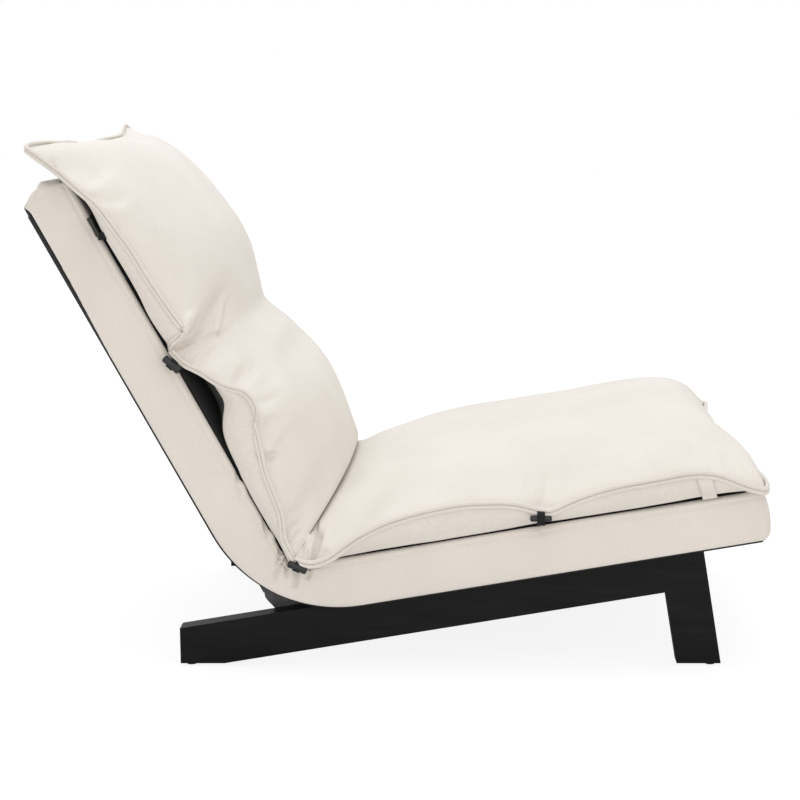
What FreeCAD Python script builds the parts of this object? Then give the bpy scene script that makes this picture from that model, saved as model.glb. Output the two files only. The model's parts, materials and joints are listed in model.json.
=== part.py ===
import FreeCAD, Part
import math
import os

doc = FreeCAD.newDocument("floor_chair")
V = FreeCAD.Vector
acrossAxis = V(1, 0, 0)

# Driving sizes of the chair, in millimetres and degrees
driving = [
    ("seat_slope", 9.4, "rise of the seat and of the side beams towards the front"),
    ("back_angle", 61.5, "angle of the back above the horizontal when upright"),
    ("recline_travel", 68, "turn of the back from upright to flat"),
    ("recline_steps", 4, "steps of the ratchet over that turn"),
    ("pivot_height", 108, "hinge pin above the floor"),
    ("seat_drop", 30, "from the hinge pin down to the underside of the seat"),
    ("back_drop", 25, "from the hinge pin out to the rear face of the back"),
    ("pad_depth", 73, "thickness of the pad"),
    ("pad_width", 690, "width of the pad"),
    ("pad_front", 705, "from the hinge pin to the front face of the pad"),
    ("pad_head", 648, "from the hinge pin to the head end of the pad"),
    ("bend_radius", 198, "outer radius of the bend between seat and back"),
    ("head_round", 25, "rounding at the head end of the pad"),
    ("front_round", 14, "rounding at the front end of the pad"),
    ("cloth", 2, "thickness of the cover cloth with its lining"),
    ("liner", 1.2, "thickness of the black liner cloth"),
    ("frame_bay", 34, "depth of the space for the frame inside the pad"),
    ("frame_end", 20, "width of the foam strips at the front and at the head"),
    ("joint_gap", 1, "gap between the seat pad and the back pad"),
    ("beam_depth", 61, "depth of a side beam"),
    ("beam_thick", 30, "thickness of the beams and front legs"),
    ("beam_inner", 270, "from the middle of the chair to the inner face of a beam"),
    ("beam_rear", 133.5, "from the hinge pin back to the plumb rear end of a beam"),
    ("leg_width", 62, "width of a front leg"),
    ("leg_front", 611, "from the hinge pin to the front face of a leg"),
    ("leg_round", 9, "rounding of the top front corner of a leg"),
    ("glide_inset", 14, "from the end of a beam or leg to the middle of its glide"),
    ("glide_radius", 7, "radius of a glide"),
    ("glide_height", 4, "height of a glide"),
    ("nail_radius", 1.2, "radius of a glide nail"),
    ("nail_length", 18, "length of a glide nail"),
    ("dowel_radius", 5, "radius of a dowel"),
    ("dowel_length", 60, "length of a dowel"),
    ("tube_size", 20, "outside width of the square steel tube"),
    ("tube_wall", 1.5, "wall of the square steel tube"),
    ("slat_thick", 8, "thickness of a slat"),
    ("slat_width", 60, "width of a slat"),
    ("slat_count", 6, "slats in the seat, and in the back"),
    ("slat_margin", 9, "from the last slat to the end of the frame"),
    ("seat_slat_first", 190, "from the hinge pin to the middle of the first seat slat"),
    ("back_slat_first", 160, "from the hinge pin to the middle of the first back slat"),
    ("holder_wall", 0.9, "top wall of a slat holder"),
    ("holder_side", 3, "side wall of a slat holder"),
    ("slat_play", 0.3, "side play of a slat in its holder"),
    ("slat_grip", 18, "length of a slat inside its holder"),
    ("seat_tube_start", 60, "from the hinge pin to the rear end of the seat side tubes"),
    ("back_tube_start", 80, "from the hinge pin to the lower end of the back side tubes"),
    ("cross_tube_start", 130, "from the hinge pin to the first cross tube"),
    ("hinge_bolt_inset", 14, "from the end of a side tube to its first hinge bolt"),
    ("hinge_bolt_pitch", 24, "distance between the two hinge bolts of a side tube"),
    ("plate_edge", 12, "from a hinge bolt to the edge of its plate"),
    ("hub_radius", 15, "radius of the hub of the back arm"),
    ("hinge_side_space", 20, "space in the pad on the inner side of a side tube, for the hinge"),
    ("nut_space", 7, "space for the nuts on the outer side of a side tube"),
    ("hinge_space_front", 128, "space in the pad in front of the hinge pin"),
    ("hinge_space_rear", 30, "space in the pad round the hinge pin"),
    ("hinge_space_top", 30, "space in the pad over the hinge pin"),
    ("cheek_thick", 5, "thickness of the outer hinge cheek"),
    ("inner_cheek_thick", 3, "thickness of the inner hinge cheek"),
    ("arm_thick", 4.5, "thickness of the back arm and of the pawl"),
    ("hinge_play", 0.3, "side play between the hinge plates"),
    ("pin_radius", 5, "radius of the hinge pin"),
    ("pin_play", 0.06, "radial clearance of the arm and the pawl on their pins"),
    ("sector_radius", 28, "radius of the toothed sector"),
    ("tooth_depth", 3.8, "depth of a notch in the sector"),
    ("pawl_reach", 17.5, "height of the pawl pin over the hinge pin"),
    ("pawl_forward", 32.1, "from the hinge pin forward to the pawl pin"),
    ("pawl_pin_radius", 3.5, "radius of the pawl pin"),
    ("spacer_radius", 4, "radius of the spacer rivet"),
    ("spring_thick", 0.8, "thickness of the pawl spring"),
    ("bolt_radius", 4, "radius of the bolt shanks"),
    ("bolt_head_radius", 6.5, "radius of the bolt heads"),
    ("bolt_head_height", 8, "height of the bolt heads"),
    ("bolt_sink", 18, "depth of the sunk holes for the bolt heads in the beams"),
    ("frame_bolt_first", 180, "from the hinge pin to the first bolt of a beam"),
    ("frame_bolt_to_dowel", 29, "from the last bolt of a beam to the end of the leg dowels"),
    ("bolt_play", 0.3, "radial clearance of the bolts in their holes"),
    ("topper_width", 730, "width of the topper at its corners"),
    ("seat_puff", 123, "height of the seat puff over the pad"),
    ("lumbar_puff", 140, "height of the lumbar puff over the pad"),
    ("toggle_length", 30, "length of a toggle"),
    ("toggle_radius", 3, "radius of a toggle"),
    ("loop_width", 10, "width of a toggle loop"),
    ("loop_side", 9.6, "how far a loop stands out from the side of the pad"),
    ("loop_thick", 1, "thickness of the loop cord"),
    ("loop_height", 20, "height of a toggle loop"),
    ("tab_width", 21, "width of a front cloth tab"),
    ("soft_gap", 0.3, "air left between soft pieces and what they lie on"),
]

sheet = doc.addObject("Spreadsheet::Sheet", "sizes")
for row, (alias, value, meaning) in enumerate(driving, start=1):
    sheet.set("A%d" % row, alias)
    sheet.set("B%d" % row, str(value))
    sheet.set("C%d" % row, meaning)
    sheet.setAlias("B%d" % row, alias)
doc.recompute()


def size(alias):
    return float(sheet.get(alias))


seatSlope = math.radians(size("seat_slope"))
backAngle = math.radians(size("back_angle"))
sectorTurn = 180 - size("back_angle") - size("seat_slope")

# The pivot stands so that the chair's depth is centred on the origin
frontReach = (size("pad_front") - size("front_round")) * math.cos(seatSlope) + size("front_round")
frontReach += (size("seat_drop") - size("front_round")) * math.sin(seatSlope)
rearReach = (size("pad_head") - size("head_round")) * math.cos(backAngle) + size("head_round")
rearReach += (size("back_drop") - size("head_round")) * math.sin(backAngle)
pivot = V(0, (frontReach - rearReach) / 2, size("pivot_height"))


# Places along the seat are given as (along, up) from the pivot, on the back as (along, out)
def seatPoint(along, up):
    y = pivot.y - along * math.cos(seatSlope) + up * math.sin(seatSlope)
    return V(y, pivot.z + along * math.sin(seatSlope) + up * math.cos(seatSlope), 0)


def backPoint(along, out):
    y = pivot.y + along * math.cos(backAngle) - out * math.sin(backAngle)
    return V(y, pivot.z + along * math.sin(backAngle) + out * math.cos(backAngle), 0)


# The point that lies this far above the seat line and this far out from the back line
def meetingPoint(up, out):
    along = (out - up * math.cos(backAngle + seatSlope)) / math.sin(backAngle + seatSlope)
    return seatPoint(along, up)


seatFrame = FreeCAD.Placement(pivot, FreeCAD.Rotation(acrossAxis, -size("seat_slope")))
backFrame = FreeCAD.Placement(pivot, FreeCAD.Rotation(acrossAxis, size("back_angle") - 90))


# Helpers for objects whose sizes are bound to the sheet
def named(kind, name):
    made = doc.addObject(kind, name)
    made.Label = name
    return made


def bind(made, **sizes):
    for prop, expression in sizes.items():
        made.setExpression(prop.replace("_", "."), expression)


def box(name, length, width, height, x, y, z):
    made = named("Part::Box", name)
    bind(made, Length=length, Width=width, Height=height)
    bind(made, Placement_Base_x=x, Placement_Base_y=y, Placement_Base_z=z)
    return made


def rod(name, radius, height, x, y, z, axis):
    made = named("Part::Cylinder", name)
    made.Placement = FreeCAD.Placement(V(), FreeCAD.Rotation(V(0, 0, 1), axis))
    bind(made, Radius=radius, Height=height)
    bind(made, Placement_Base_x=x, Placement_Base_y=y, Placement_Base_z=z)
    return made


def cut(name, base, tool):
    made = named("Part::Cut", name)
    made.Base = base
    made.Tool = tool
    return made


def common(name, base, tool):
    made = named("Part::Common", name)
    made.Base = base
    made.Tool = tool
    return made


def fuse(name, shapes):
    made = named("Part::MultiFuse", name)
    made.Shapes = shapes
    made.Refine = True
    return made


def group(name, links):
    made = named("Part::Compound", name)
    made.Links = links
    return made


def placed(made, frame):
    made.Placement = frame
    return made


def mirrored(name, source):
    made = named("Part::Mirroring", name)
    made.Source = source
    made.Normal = acrossAxis
    return made


def polygon(points, closed=True):
    ends = points[1:] + points[:1] if closed else points[1:]
    return [Part.LineSegment(a, b) for a, b in zip(points, ends)]


# A sketch of the side outline, padded across the chair: from x, or to both sides alike
def profileBody(name, edges, depth, x=None, frame=None):
    body = named("PartDesign::Body", name)
    if frame:
        body.Placement = frame
    sketch = body.newObject("Sketcher::SketchObject", name + "_outline")
    plane = [o for o in body.Origin.OriginFeatures if o.Role == "YZ_Plane"][0]
    sketch.AttachmentSupport = [(plane, "")]
    sketch.MapMode = "FlatFace"
    for edge in edges:
        sketch.addGeometry(edge, False)
    pad = body.newObject("PartDesign::Pad", name + "_pad")
    pad.Profile = sketch
    bind(pad, Length=depth)
    if x is None:
        pad.SideType = "Symmetric"
    else:
        bind(body, Placement_Base_x=x)
    return body


kept = []


def keep(*made):
    kept.extend(made)


# The outline of the pad, seen from the side, with its faces moved inwards by the three insets
def padOutline(outer, inner, end):
    low = outer - size("seat_drop")
    rear = outer - size("back_drop")
    high = size("pad_depth") - size("seat_drop") - inner
    sitter = size("pad_depth") - size("back_drop") - inner
    front = size("pad_front") - end
    head = size("pad_head") - end
    widest = 0.45 * size("pad_depth")
    frontRound = min(size("front_round"), widest)
    headRound = min(size("head_round"), widest)
    upperFront, lowerFront = [max(frontRound - max(inset, 0), 1) for inset in (end, max(end, outer))]
    upperHead, lowerHead = [max(headRound - max(inset, 0), 1) for inset in (end, max(end, outer))]
    bendCentre = meetingPoint(size("bend_radius") - size("seat_drop"), size("bend_radius") - size("back_drop"))
    bend = size("bend_radius") - outer
    seatEnd = V(bendCentre.x, bendCentre.y) + V(-math.sin(seatSlope), -math.cos(seatSlope)) * bend
    backEnd = V(bendCentre.x, bendCentre.y) + V(math.sin(backAngle), -math.cos(backAngle)) * bend
    halfWay = seatEnd + backEnd - bendCentre * 2
    bendMiddle = bendCentre + halfWay * (bend / halfWay.Length)
    edges = [Part.LineSegment(seatEnd, seatPoint(front - lowerFront, low))]

    def corner(point, alongCentre, acrossCentre, radius, start, stop):
        angles = [start, (start + stop) / 2, stop]
        ways = [(math.cos(math.radians(a)), math.sin(math.radians(a))) for a in angles]
        return Part.Arc(*[point(alongCentre + radius * c, acrossCentre + radius * s) for c, s in ways])

    edges.append(corner(seatPoint, front - lowerFront, low + lowerFront, lowerFront, -90, 0))
    edges.append(Part.LineSegment(seatPoint(front, low + lowerFront), seatPoint(front, high - upperFront)))
    edges.append(corner(seatPoint, front - upperFront, high - upperFront, upperFront, 0, 90))
    edges.append(Part.LineSegment(seatPoint(front - upperFront, high), meetingPoint(high, sitter)))
    edges.append(Part.LineSegment(meetingPoint(high, sitter), backPoint(head - upperHead, sitter)))
    edges.append(corner(backPoint, head - upperHead, sitter - upperHead, upperHead, 90, 0))
    edges.append(Part.LineSegment(backPoint(head, sitter - upperHead), backPoint(head, rear + lowerHead)))
    edges.append(corner(backPoint, head - lowerHead, rear + lowerHead, lowerHead, 0, -90))
    edges.append(Part.LineSegment(backPoint(head - lowerHead, rear), backEnd))
    edges.append(Part.Arc(backEnd, bendMiddle, seatEnd))
    return edges


padCross = "sizes.pad_width - 2 * sizes.cloth"
far = "3 * sizes.pad_width"

# Blocks on each side of the plane where the seat pad and the back pad meet
crease = meetingPoint(size("pad_depth") - size("seat_drop"), size("pad_depth") - size("back_drop"))
creaseTurn = math.degrees(math.atan2(pivot.y - crease.x, crease.y - pivot.z))
creaseFrame = FreeCAD.Placement(pivot, FreeCAD.Rotation(acrossAxis, creaseTurn))


def sideBlock(name, y):
    block = box(name + "_block", far, far, far, "-%s / 2" % far, y, "-%s / 2" % far)
    return placed(group(name, [block]), creaseFrame)


seatSide = sideBlock("seat_side", "-%s - sizes.joint_gap / 2" % far)
backSide = sideBlock("back_side", "sizes.joint_gap / 2")


# Each layer of the pad, in one outline, is divided between the seat and the back
def divided(name, layer, hollow=None):
    for part, side in (("seat", seatSide), ("back", backSide)):
        whole = cut("%s_%s_full" % (part, name), layer, hollow) if hollow else layer
        keep(common("%s_%s" % (part, name), whole, side))


# Space round the hinges and their plates, at both sides of the pad
def hingeSpace():
    x = "sizes.beam_inner - sizes.hinge_side_space"
    wide = "sizes.hinge_side_space + sizes.tube_size + sizes.nut_space"
    block = box("hinge_space_block", wide, "sizes.hinge_space_front + sizes.hinge_space_rear",
                "2 * sizes.hinge_space_top", x, "-sizes.hinge_space_front", "-sizes.hinge_space_top")
    drum = rod("hinge_space_drum", "sizes.hinge_space_rear", wide, x, "0", "0", acrossAxis)
    front = placed(fuse("hinge_space_front_right", [block, drum]), seatFrame)
    behind = box("hinge_space_back_block", wide, "sizes.hinge_space_rear + sizes.frame_bay - sizes.back_drop",
                 "sizes.hinge_space_front + 8", x, "-(sizes.frame_bay - sizes.back_drop)", "0")
    rear = placed(group("hinge_space_rear_right", [behind]), backFrame)
    right = fuse("hinge_space_right", [front, rear])
    return fuse("hinge_space", [right, mirrored("hinge_space_left", right)])


hingeSpaces = hingeSpace()


# Holes for the bolts that hold the beams to the seat frame
def frameBolts(name, radius, low, high):
    last = "(sizes.leg_front - sizes.leg_width - sizes.dowel_length / 2 - sizes.frame_bolt_to_dowel)"
    pitch = "(%s - sizes.frame_bolt_first) / 2" % last
    rods = []
    for i in range(3):
        y = "-(sizes.frame_bolt_first + %d * %s)" % (i, pitch)
        middle = "sizes.beam_inner + sizes.tube_size / 2"
        for side in ("", "-"):
            label = "%s_%d_%s" % (name, i, "left" if side else "right")
            rods.append(rod(label, radius, "(%s) - (%s)" % (high, low), "%s(%s)" % (side, middle), y, low, V(0, 0, 1)))
    return rods


beamBottom = "-(sizes.seat_drop + sizes.beam_depth)"
boltTop = "-(sizes.seat_drop - sizes.liner - sizes.tube_size / 2)"
sinkTop = "%s + sizes.bolt_sink" % beamBottom
shankHoles = frameBolts("bolt_hole", "sizes.bolt_radius + sizes.bolt_play", beamBottom, boltTop)
sinkHoles = frameBolts("bolt_sink_hole", "sizes.bolt_head_radius + sizes.bolt_play", beamBottom, sinkTop)
boltHoles = placed(fuse("frame_bolt_holes", shankHoles + sinkHoles), seatFrame)
shanks = frameBolts("frame_bolt_shank", "sizes.bolt_radius", sinkTop + " - sizes.bolt_head_height", boltTop)
heads = frameBolts("frame_bolt_head", "sizes.bolt_head_radius", sinkTop + " - sizes.bolt_head_height", sinkTop)
keep(placed(fuse("frame_bolts", shanks + heads), seatFrame))

# Pad: cover, liners and foam
padBlock = profileBody("pad_block", padOutline(0, 0, 0), "sizes.pad_width")
padHollow = profileBody("pad_hollow", padOutline(-1, -1, size("cloth")), padCross)
padPlug = profileBody("pad_plug", padOutline(0, 0, size("cloth")), padCross)
underTop = profileBody("under_top", padOutline(-1, size("liner"), 0), "sizes.pad_width")
overDust = profileBody("over_dust", padOutline(size("liner"), -1, 0), "sizes.pad_width")
padInside = profileBody("pad_inside", padOutline(size("liner"), size("liner"), size("cloth")), padCross)
slab = profileBody("pad_slab", padOutline(size("frame_bay"), size("liner"), size("cloth")), padCross)
bay = profileBody("pad_bay", padOutline(-1, -1, size("cloth") + size("frame_end")), "2 * (sizes.beam_inner + sizes.tube_size + sizes.nut_space)")
divided("casing", padBlock, padHollow)
divided("top_sheet", padPlug, underTop)
dustHoles = fuse("dust_cover_holes", [overDust, hingeSpaces, boltHoles])
divided("dust_cover", padPlug, dustHoles)
divided("foam", slab, hingeSpaces)
divided("edge_foam", padInside, fuse("edge_foam_hollow", [slab, bay]))


# Side beam and front leg of the right leg frame, mirrored for the left one
def legFrame():
    high = "-sizes.seat_drop"
    low = "-(sizes.seat_drop + sizes.beam_depth)"
    beamFront = "-(sizes.leg_front - sizes.leg_width)"
    long = "sizes.leg_front - sizes.leg_width + 2 * sizes.beam_rear"
    x = "sizes.beam_inner"
    board = placed(group("beam_board", [box("beam_blank", "sizes.beam_thick", long, "sizes.beam_depth",
                                            x, beamFront, low)]), seatFrame)
    envelope = box("beam_envelope", "sizes.beam_thick", far, far, x, "0", "sizes.glide_height")
    envelope.setExpression("Placement.Base.y", "%f + sizes.beam_rear - %s" % (pivot.y, far))
    dowels = []
    for i, share in enumerate((0.28, 0.72)):
        height = "%s + %f * sizes.beam_depth" % (low, share)
        back = "%s - sizes.dowel_length / 2" % beamFront
        dowels.append(rod("dowel_%d" % i, "sizes.dowel_radius", "sizes.dowel_length",
                          "sizes.beam_inner + sizes.beam_thick / 2", back, height, V(0, 1, 0)))
    dowelSet = placed(group("leg_dowels_right", dowels), seatFrame)
    nails = []
    rearNail = pivot.y + size("beam_rear") - size("glide_inset")
    front = seatPoint(size("leg_front"), 0)
    frontNail = front.x - (front.y - size("glide_height")) * math.tan(seatSlope) + size("glide_inset")
    for name, y in (("rear", rearNail), ("front", frontNail)):
        x = "sizes.beam_inner + sizes.beam_thick / 2"
        nails.append(rod("glide_nail_" + name, "sizes.nail_radius", "sizes.nail_length", x, str(y),
                         "sizes.glide_height", V(0, 0, 1)))
        glide = rod("glide_%s_right" % name, "sizes.glide_radius", "sizes.glide_height", x, str(y), "0", V(0, 0, 1))
        keep(glide, mirrored("glide_%s_left" % name, glide))
    nailSet = group("glide_nails_right", nails)
    holes = fuse("leg_frame_holes", [dowelSet, nailSet, boltHoles])
    beam = cut("side_beam_right", common("beam_shape", board, envelope), holes)
    legBox = box("leg_blank", "sizes.beam_thick", "sizes.leg_width", far, "sizes.beam_inner", "-sizes.leg_front",
                 "-sizes.seat_drop - %s" % far)
    rounded = named("Part::Fillet", "leg_rounded")
    rounded.Base = legBox
    rounded.Edges = [(topFrontEdge(legBox), size("leg_round"), size("leg_round"))]
    legBoard = placed(group("leg_board", [rounded]), seatFrame)
    floorBlock = box("leg_envelope", "sizes.beam_thick", far, far, "sizes.beam_inner", "-%s / 2" % far,
                     "sizes.glide_height")
    leg = cut("front_leg_right", common("leg_shape", legBoard, floorBlock), holes)
    keep(beam, mirrored("side_beam_left", beam), leg, mirrored("front_leg_left", leg))
    keep(group("leg_dowels", [dowelSet, mirrored("leg_dowels_left", dowelSet)]))
    keep(group("glide_nails", [nailSet, mirrored("glide_nails_left", nailSet)]))


def topFrontEdge(block):
    doc.recompute()
    for number, edge in enumerate(block.Shape.Edges, start=1):
        middle = edge.CenterOfMass
        atFront = abs(middle.y - block.Shape.BoundBox.YMin) < 0.01
        atTop = abs(middle.z - block.Shape.BoundBox.ZMax) < 0.01
        if atFront and atTop:
            return number


legFrame()



# A metal frame of square tube with slats in holders, for the seat or the back
def slatFrame(part, frame, drop, inner, start, end, first, holes):
    low = "-(%s) + sizes.liner" % drop
    wide = "sizes.tube_size"
    hollow = "sizes.tube_size - 2 * sizes.tube_wall"
    holderHeight = "(sizes.frame_bay - sizes.liner - sizes.tube_size - sizes.soft_gap)"
    count = int(size("slat_count"))

    def bar(name, long, across, up, x, at, height):
        if part == "seat":
            return box(name, across, long, up, x, "-(%s) - (%s)" % (at, long), height)
        return box(name, across, up, long, x, "-(%s) - (%s)" % (height, up), at)

    length = "(%s) - (%s)" % (end, start)
    outside = bar(part + "_side_tube_outside", length, wide, wide, inner, start, low)
    inside = bar(part + "_side_tube_inside", length + " + 2", hollow, hollow, inner + " + sizes.tube_wall",
                 start + " - 1", low + " + sizes.tube_wall")
    solid = placed(cut(part + "_side_tube_hollowed", outside, inside), frame)
    right = cut(part + "_side_tube_right", solid, holes)
    keep(right, mirrored(part + "_side_tube_left", right))

    across = "2 * (%s)" % inner
    crossTubes = []
    middle = "(sizes.cross_tube_start + %s - sizes.tube_size) / 2" % end
    for i, at in enumerate(("sizes.cross_tube_start", middle, end + " - sizes.tube_size")):
        outer = bar("%s_cross_tube_%d_outside" % (part, i), wide, across, wide, "-(%s)" % inner, at, low)
        hole = bar("%s_cross_tube_%d_inside" % (part, i), hollow, across + " + 2", hollow, "-(%s) - 1" % inner,
                   at + " + sizes.tube_wall", low + " + sizes.tube_wall")
        crossTubes.append(cut("%s_cross_tube_%d" % (part, i), outer, hole))
    keep(placed(group(part + "_cross_tubes", crossTubes), frame))

    holderBase = "%s + sizes.tube_size" % low
    slatBase = "%s + %s - sizes.holder_wall - sizes.slat_thick" % (holderBase, holderHeight)
    holderWidth = "sizes.slat_width + 2 * sizes.holder_side"
    slats = []
    holders = []
    for i in range(count):
        last = "(%s - sizes.slat_margin - sizes.slat_width / 2)" % end
        at = "%s + %f * (%s - %s)" % (first, i / (count - 1), last, first)
        slats.append(bar("%s_slat_%d" % (part, i), "sizes.slat_width", "2 * (%s + sizes.slat_grip)" % inner,
                         "sizes.slat_thick", "-(%s + sizes.slat_grip)" % inner,
                         at + " - sizes.slat_width / 2", slatBase))
        block = bar("%s_holder_%d_block" % (part, i), holderWidth, "sizes.tube_size + 2", holderHeight,
                    inner + " - 2", "%s - (%s) / 2" % (at, holderWidth), holderBase)
        slot = bar("%s_holder_%d_slot" % (part, i), "sizes.slat_width + 2 * sizes.slat_play", "sizes.slat_grip + 3",
                   "sizes.slat_thick", inner + " - 3", "%s - sizes.slat_width / 2 - sizes.slat_play" % at, slatBase)
        holder = cut("%s_holder_%d" % (part, i), block, slot)
        holders += [holder, mirrored("%s_holder_%d_left" % (part, i), holder)]
    keep(placed(group(part + "_slats", slats), frame))
    keep(placed(group(part + "_slat_holders", holders), frame))


seatInner = "sizes.beam_inner"
armOuter = "(sizes.beam_inner - sizes.cheek_thick - sizes.hinge_play)"
armInner = "(%s - sizes.arm_thick)" % armOuter
innerCheekX = "(%s - sizes.hinge_play - sizes.inner_cheek_thick)" % armInner
plates = "(sizes.beam_inner - %s)" % innerCheekX


# Bolts through a hinge plate and a side tube, and the holes for them
def hingeBolts(part, frame, tube, head, places, along):
    bolts = []
    holes = []
    for i, at in enumerate(places):
        height = "-(sizes.%s_drop - sizes.liner - sizes.tube_size / 2)" % part
        y, z = ("-" + at, height) if part == "seat" else ("-(%s)" % height, at)
        label = "%s_hinge_bolt_%d" % (part, i)
        nut = "(%s + sizes.tube_size)" % tube
        shank = "%s + sizes.nut_space - 1 - (%s)" % (nut, head)
        bolts.append(rod(label + "_shank", "sizes.bolt_radius", shank, head, y, z, acrossAxis))
        bolts.append(rod(label + "_head", "sizes.bolt_head_radius", along, head, y, z, acrossAxis))
        bolts.append(rod(label + "_nut", "sizes.bolt_head_radius", "sizes.nut_space - 1", nut, y, z, acrossAxis))
        holes.append(rod(label + "_hole", "sizes.bolt_radius + sizes.bolt_play", "%s + sizes.tube_size" % plates,
                         innerCheekX, y, z, acrossAxis))
    right = placed(fuse(part + "_hinge_bolts_right", bolts), frame)
    keep(group(part + "_hinge_bolts", [right, mirrored(part + "_hinge_bolts_left", right)]))
    return placed(fuse(part + "_hinge_bolt_holes", holes), frame)


firstBolt = "(sizes.%s_tube_start + sizes.hinge_bolt_inset)"
secondBolt = "(sizes.%s_tube_start + sizes.hinge_bolt_inset + sizes.hinge_bolt_pitch)"
seatBoltPlaces = (firstBolt % "seat", secondBolt % "seat")
backBoltPlaces = (firstBolt % "back", secondBolt % "back")
seatHoles = hingeBolts("seat", seatFrame, seatInner, seatInner + " - sizes.cheek_thick - 7", seatBoltPlaces, "7")
backHoles = hingeBolts("back", backFrame, armOuter, armInner + " - 6", backBoltPlaces, "6")
frameEnd = "(sizes.pad_%s - sizes.cloth - sizes.frame_end - 2)"
slatFrame("seat", seatFrame, "sizes.seat_drop", seatInner, "sizes.seat_tube_start", frameEnd % "front",
          "sizes.seat_slat_first", fuse("seat_tube_holes", [seatHoles, boltHoles]))
slatFrame("back", backFrame, "sizes.back_drop", armOuter, "sizes.back_tube_start", frameEnd % "head",
          "sizes.back_slat_first", backHoles)


# Pins through the hinge plates, with a head at each end
def platePin(name, at, height, radius, headRadius, headHeight):
    y = "-(%s)" % at
    shank = rod(name + "_shank", radius, plates, innerCheekX, y, height, acrossAxis)
    inner = rod(name + "_inner_head", headRadius, headHeight, "%s - %s" % (innerCheekX, headHeight), y, height, acrossAxis)
    outer = rod(name + "_outer_head", headRadius, headHeight, "sizes.beam_inner", y, height, acrossAxis)
    return placed(fuse(name, [shank, inner, outer]), seatFrame)


hingePin = platePin("hinge_pin_right", "0", "0", "sizes.pin_radius", "sizes.pin_radius + 2", "3")
pawlPin = platePin("pawl_pin_right", "sizes.pawl_forward", "sizes.pawl_reach", "sizes.pawl_pin_radius",
                   "sizes.pawl_pin_radius + 1.5", "2")
spacer = platePin("spacer_right", "sizes.pawl_forward + 20", "10", "sizes.spacer_radius", "sizes.spacer_radius + 2", "2")
keep(hingePin, mirrored("hinge_pin_left", hingePin), pawlPin, mirrored("pawl_pin_left", pawlPin))
keep(group("hinge_spacers", [spacer, mirrored("spacer_left", spacer)]))


# A plate cut to a side outline, given in points along and up from the hinge pin
def plate(name, points, thick, x, frame):
    return profileBody(name, polygon([V(-a, b) for a, b in points]), thick, x, frame)


def hingeCheek(name, points, thick, x):
    blank = plate(name + "_blank", points, thick, x, seatFrame)
    holes = [hingePin, pawlPin, spacer, seatHoles]
    right = cut(name + "_right", blank, fuse(name + "_holes", holes))
    keep(right, mirrored(name + "_left", right))


boltEnd = size("seat_tube_start") + size("hinge_bolt_inset") + size("hinge_bolt_pitch") + size("plate_edge")
outerPoints = [(-17, 12), (-17, -12), (-14, -18), (7, -50), (boltEnd, -50), (boltEnd, -8), (70, 22), (64, 26),
               (-4, 26), (-12, 22)]
innerPoints = [(-17, 12), (-17, -12), (-12, -20), (-2, -28), (60, -28), (60, 20), (54, 26), (-4, 26), (-12, 22)]
hingeCheek("hinge_outer_cheek", outerPoints, "sizes.cheek_thick", "sizes.beam_inner - sizes.cheek_thick")
hingeCheek("hinge_inner_cheek", innerPoints, "sizes.inner_cheek_thick", innerCheekX)


# A point of the arm, whose angle is given from the seat line when the back is upright
def armPoint(radius, angle):
    fromBack = math.radians(angle - sectorTurn)
    return V(radius * math.sin(fromBack), radius * math.cos(fromBack))


def addPad(body, name, edges, depth):
    sketch = body.newObject("Sketcher::SketchObject", name + "_outline")
    sketch.AttachmentSupport = [([o for o in body.Origin.OriginFeatures if o.Role == "YZ_Plane"][0], "")]
    sketch.MapMode = "FlatFace"
    for edge in edges:
        sketch.addGeometry(edge, False)
    pad = body.newObject("PartDesign::Pad", name)
    pad.Profile = sketch
    bind(pad, Length=depth)
    return pad


# Back arm: hub, strip up the back and toothed sector
def backArm():
    steps = int(size("recline_steps"))
    travel = size("recline_travel")
    radius = size("sector_radius")
    root = radius - size("tooth_depth")
    first, last = 12, -travel - 10
    rim = Part.Arc(armPoint(radius, first), armPoint(radius, (first + last) / 2), armPoint(radius, last))
    sector = [Part.LineSegment(V(), armPoint(radius, first)), rim, Part.LineSegment(armPoint(radius, last), V())]
    body = profileBody("arm_blank", sector, "sizes.arm_thick", armInner, backFrame)
    end = size("back_tube_start") + size("hinge_bolt_inset") + size("hinge_bolt_pitch") + size("plate_edge")
    strip = [(0, -20), (end - 4, -20), (end, -16), (end, -6), (end - 4, -2), (0, -2)]
    addPad(body, "arm_strip", polygon([V(-out, along) for along, out in strip]), "sizes.arm_thick")
    hubEdge = Part.Circle(V(), V(0, 0, 1), size("hub_radius"))
    addPad(body, "arm_hub", [hubEdge], "sizes.arm_thick")
    notch = body.newObject("Sketcher::SketchObject", "notch_outline")
    notch.AttachmentSupport = [([o for o in body.Origin.OriginFeatures if o.Role == "YZ_Plane"][0], "")]
    notch.MapMode = "FlatFace"
    corners = [(radius + 1, -5.5), (root, -0.9), (root, 5), (radius + 1, 9.5)]
    for edge in polygon([armPoint(r, a) for r, a in corners]):
        notch.addGeometry(edge, False)
    pocket = body.newObject("PartDesign::Pocket", "notch")
    pocket.Profile = notch
    pocket.Type = "ThroughAll"
    pocket.SideType = "Symmetric"
    pattern = body.newObject("PartDesign::PolarPattern", "notches")
    pattern.Originals = [pocket]
    pattern.Axis = ([o for o in body.Origin.OriginFeatures if o.Role == "X_Axis"][0], [""])
    pattern.Reversed = False
    bind(pattern, Angle="sizes.recline_travel")
    pattern.Occurrences = steps + 1
    body.Tip = pattern
    bore = placed(group("arm_bore", [rod("arm_bore_rod", "sizes.pin_radius + sizes.pin_play", "2 * sizes.arm_thick",
                                         armInner + " - 1", "0", "0", acrossAxis)]), seatFrame)
    right = cut("back_arm_right", body, fuse("arm_holes", [bore, backHoles]))
    keep(right, mirrored("back_arm_left", right))


backArm()


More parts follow.
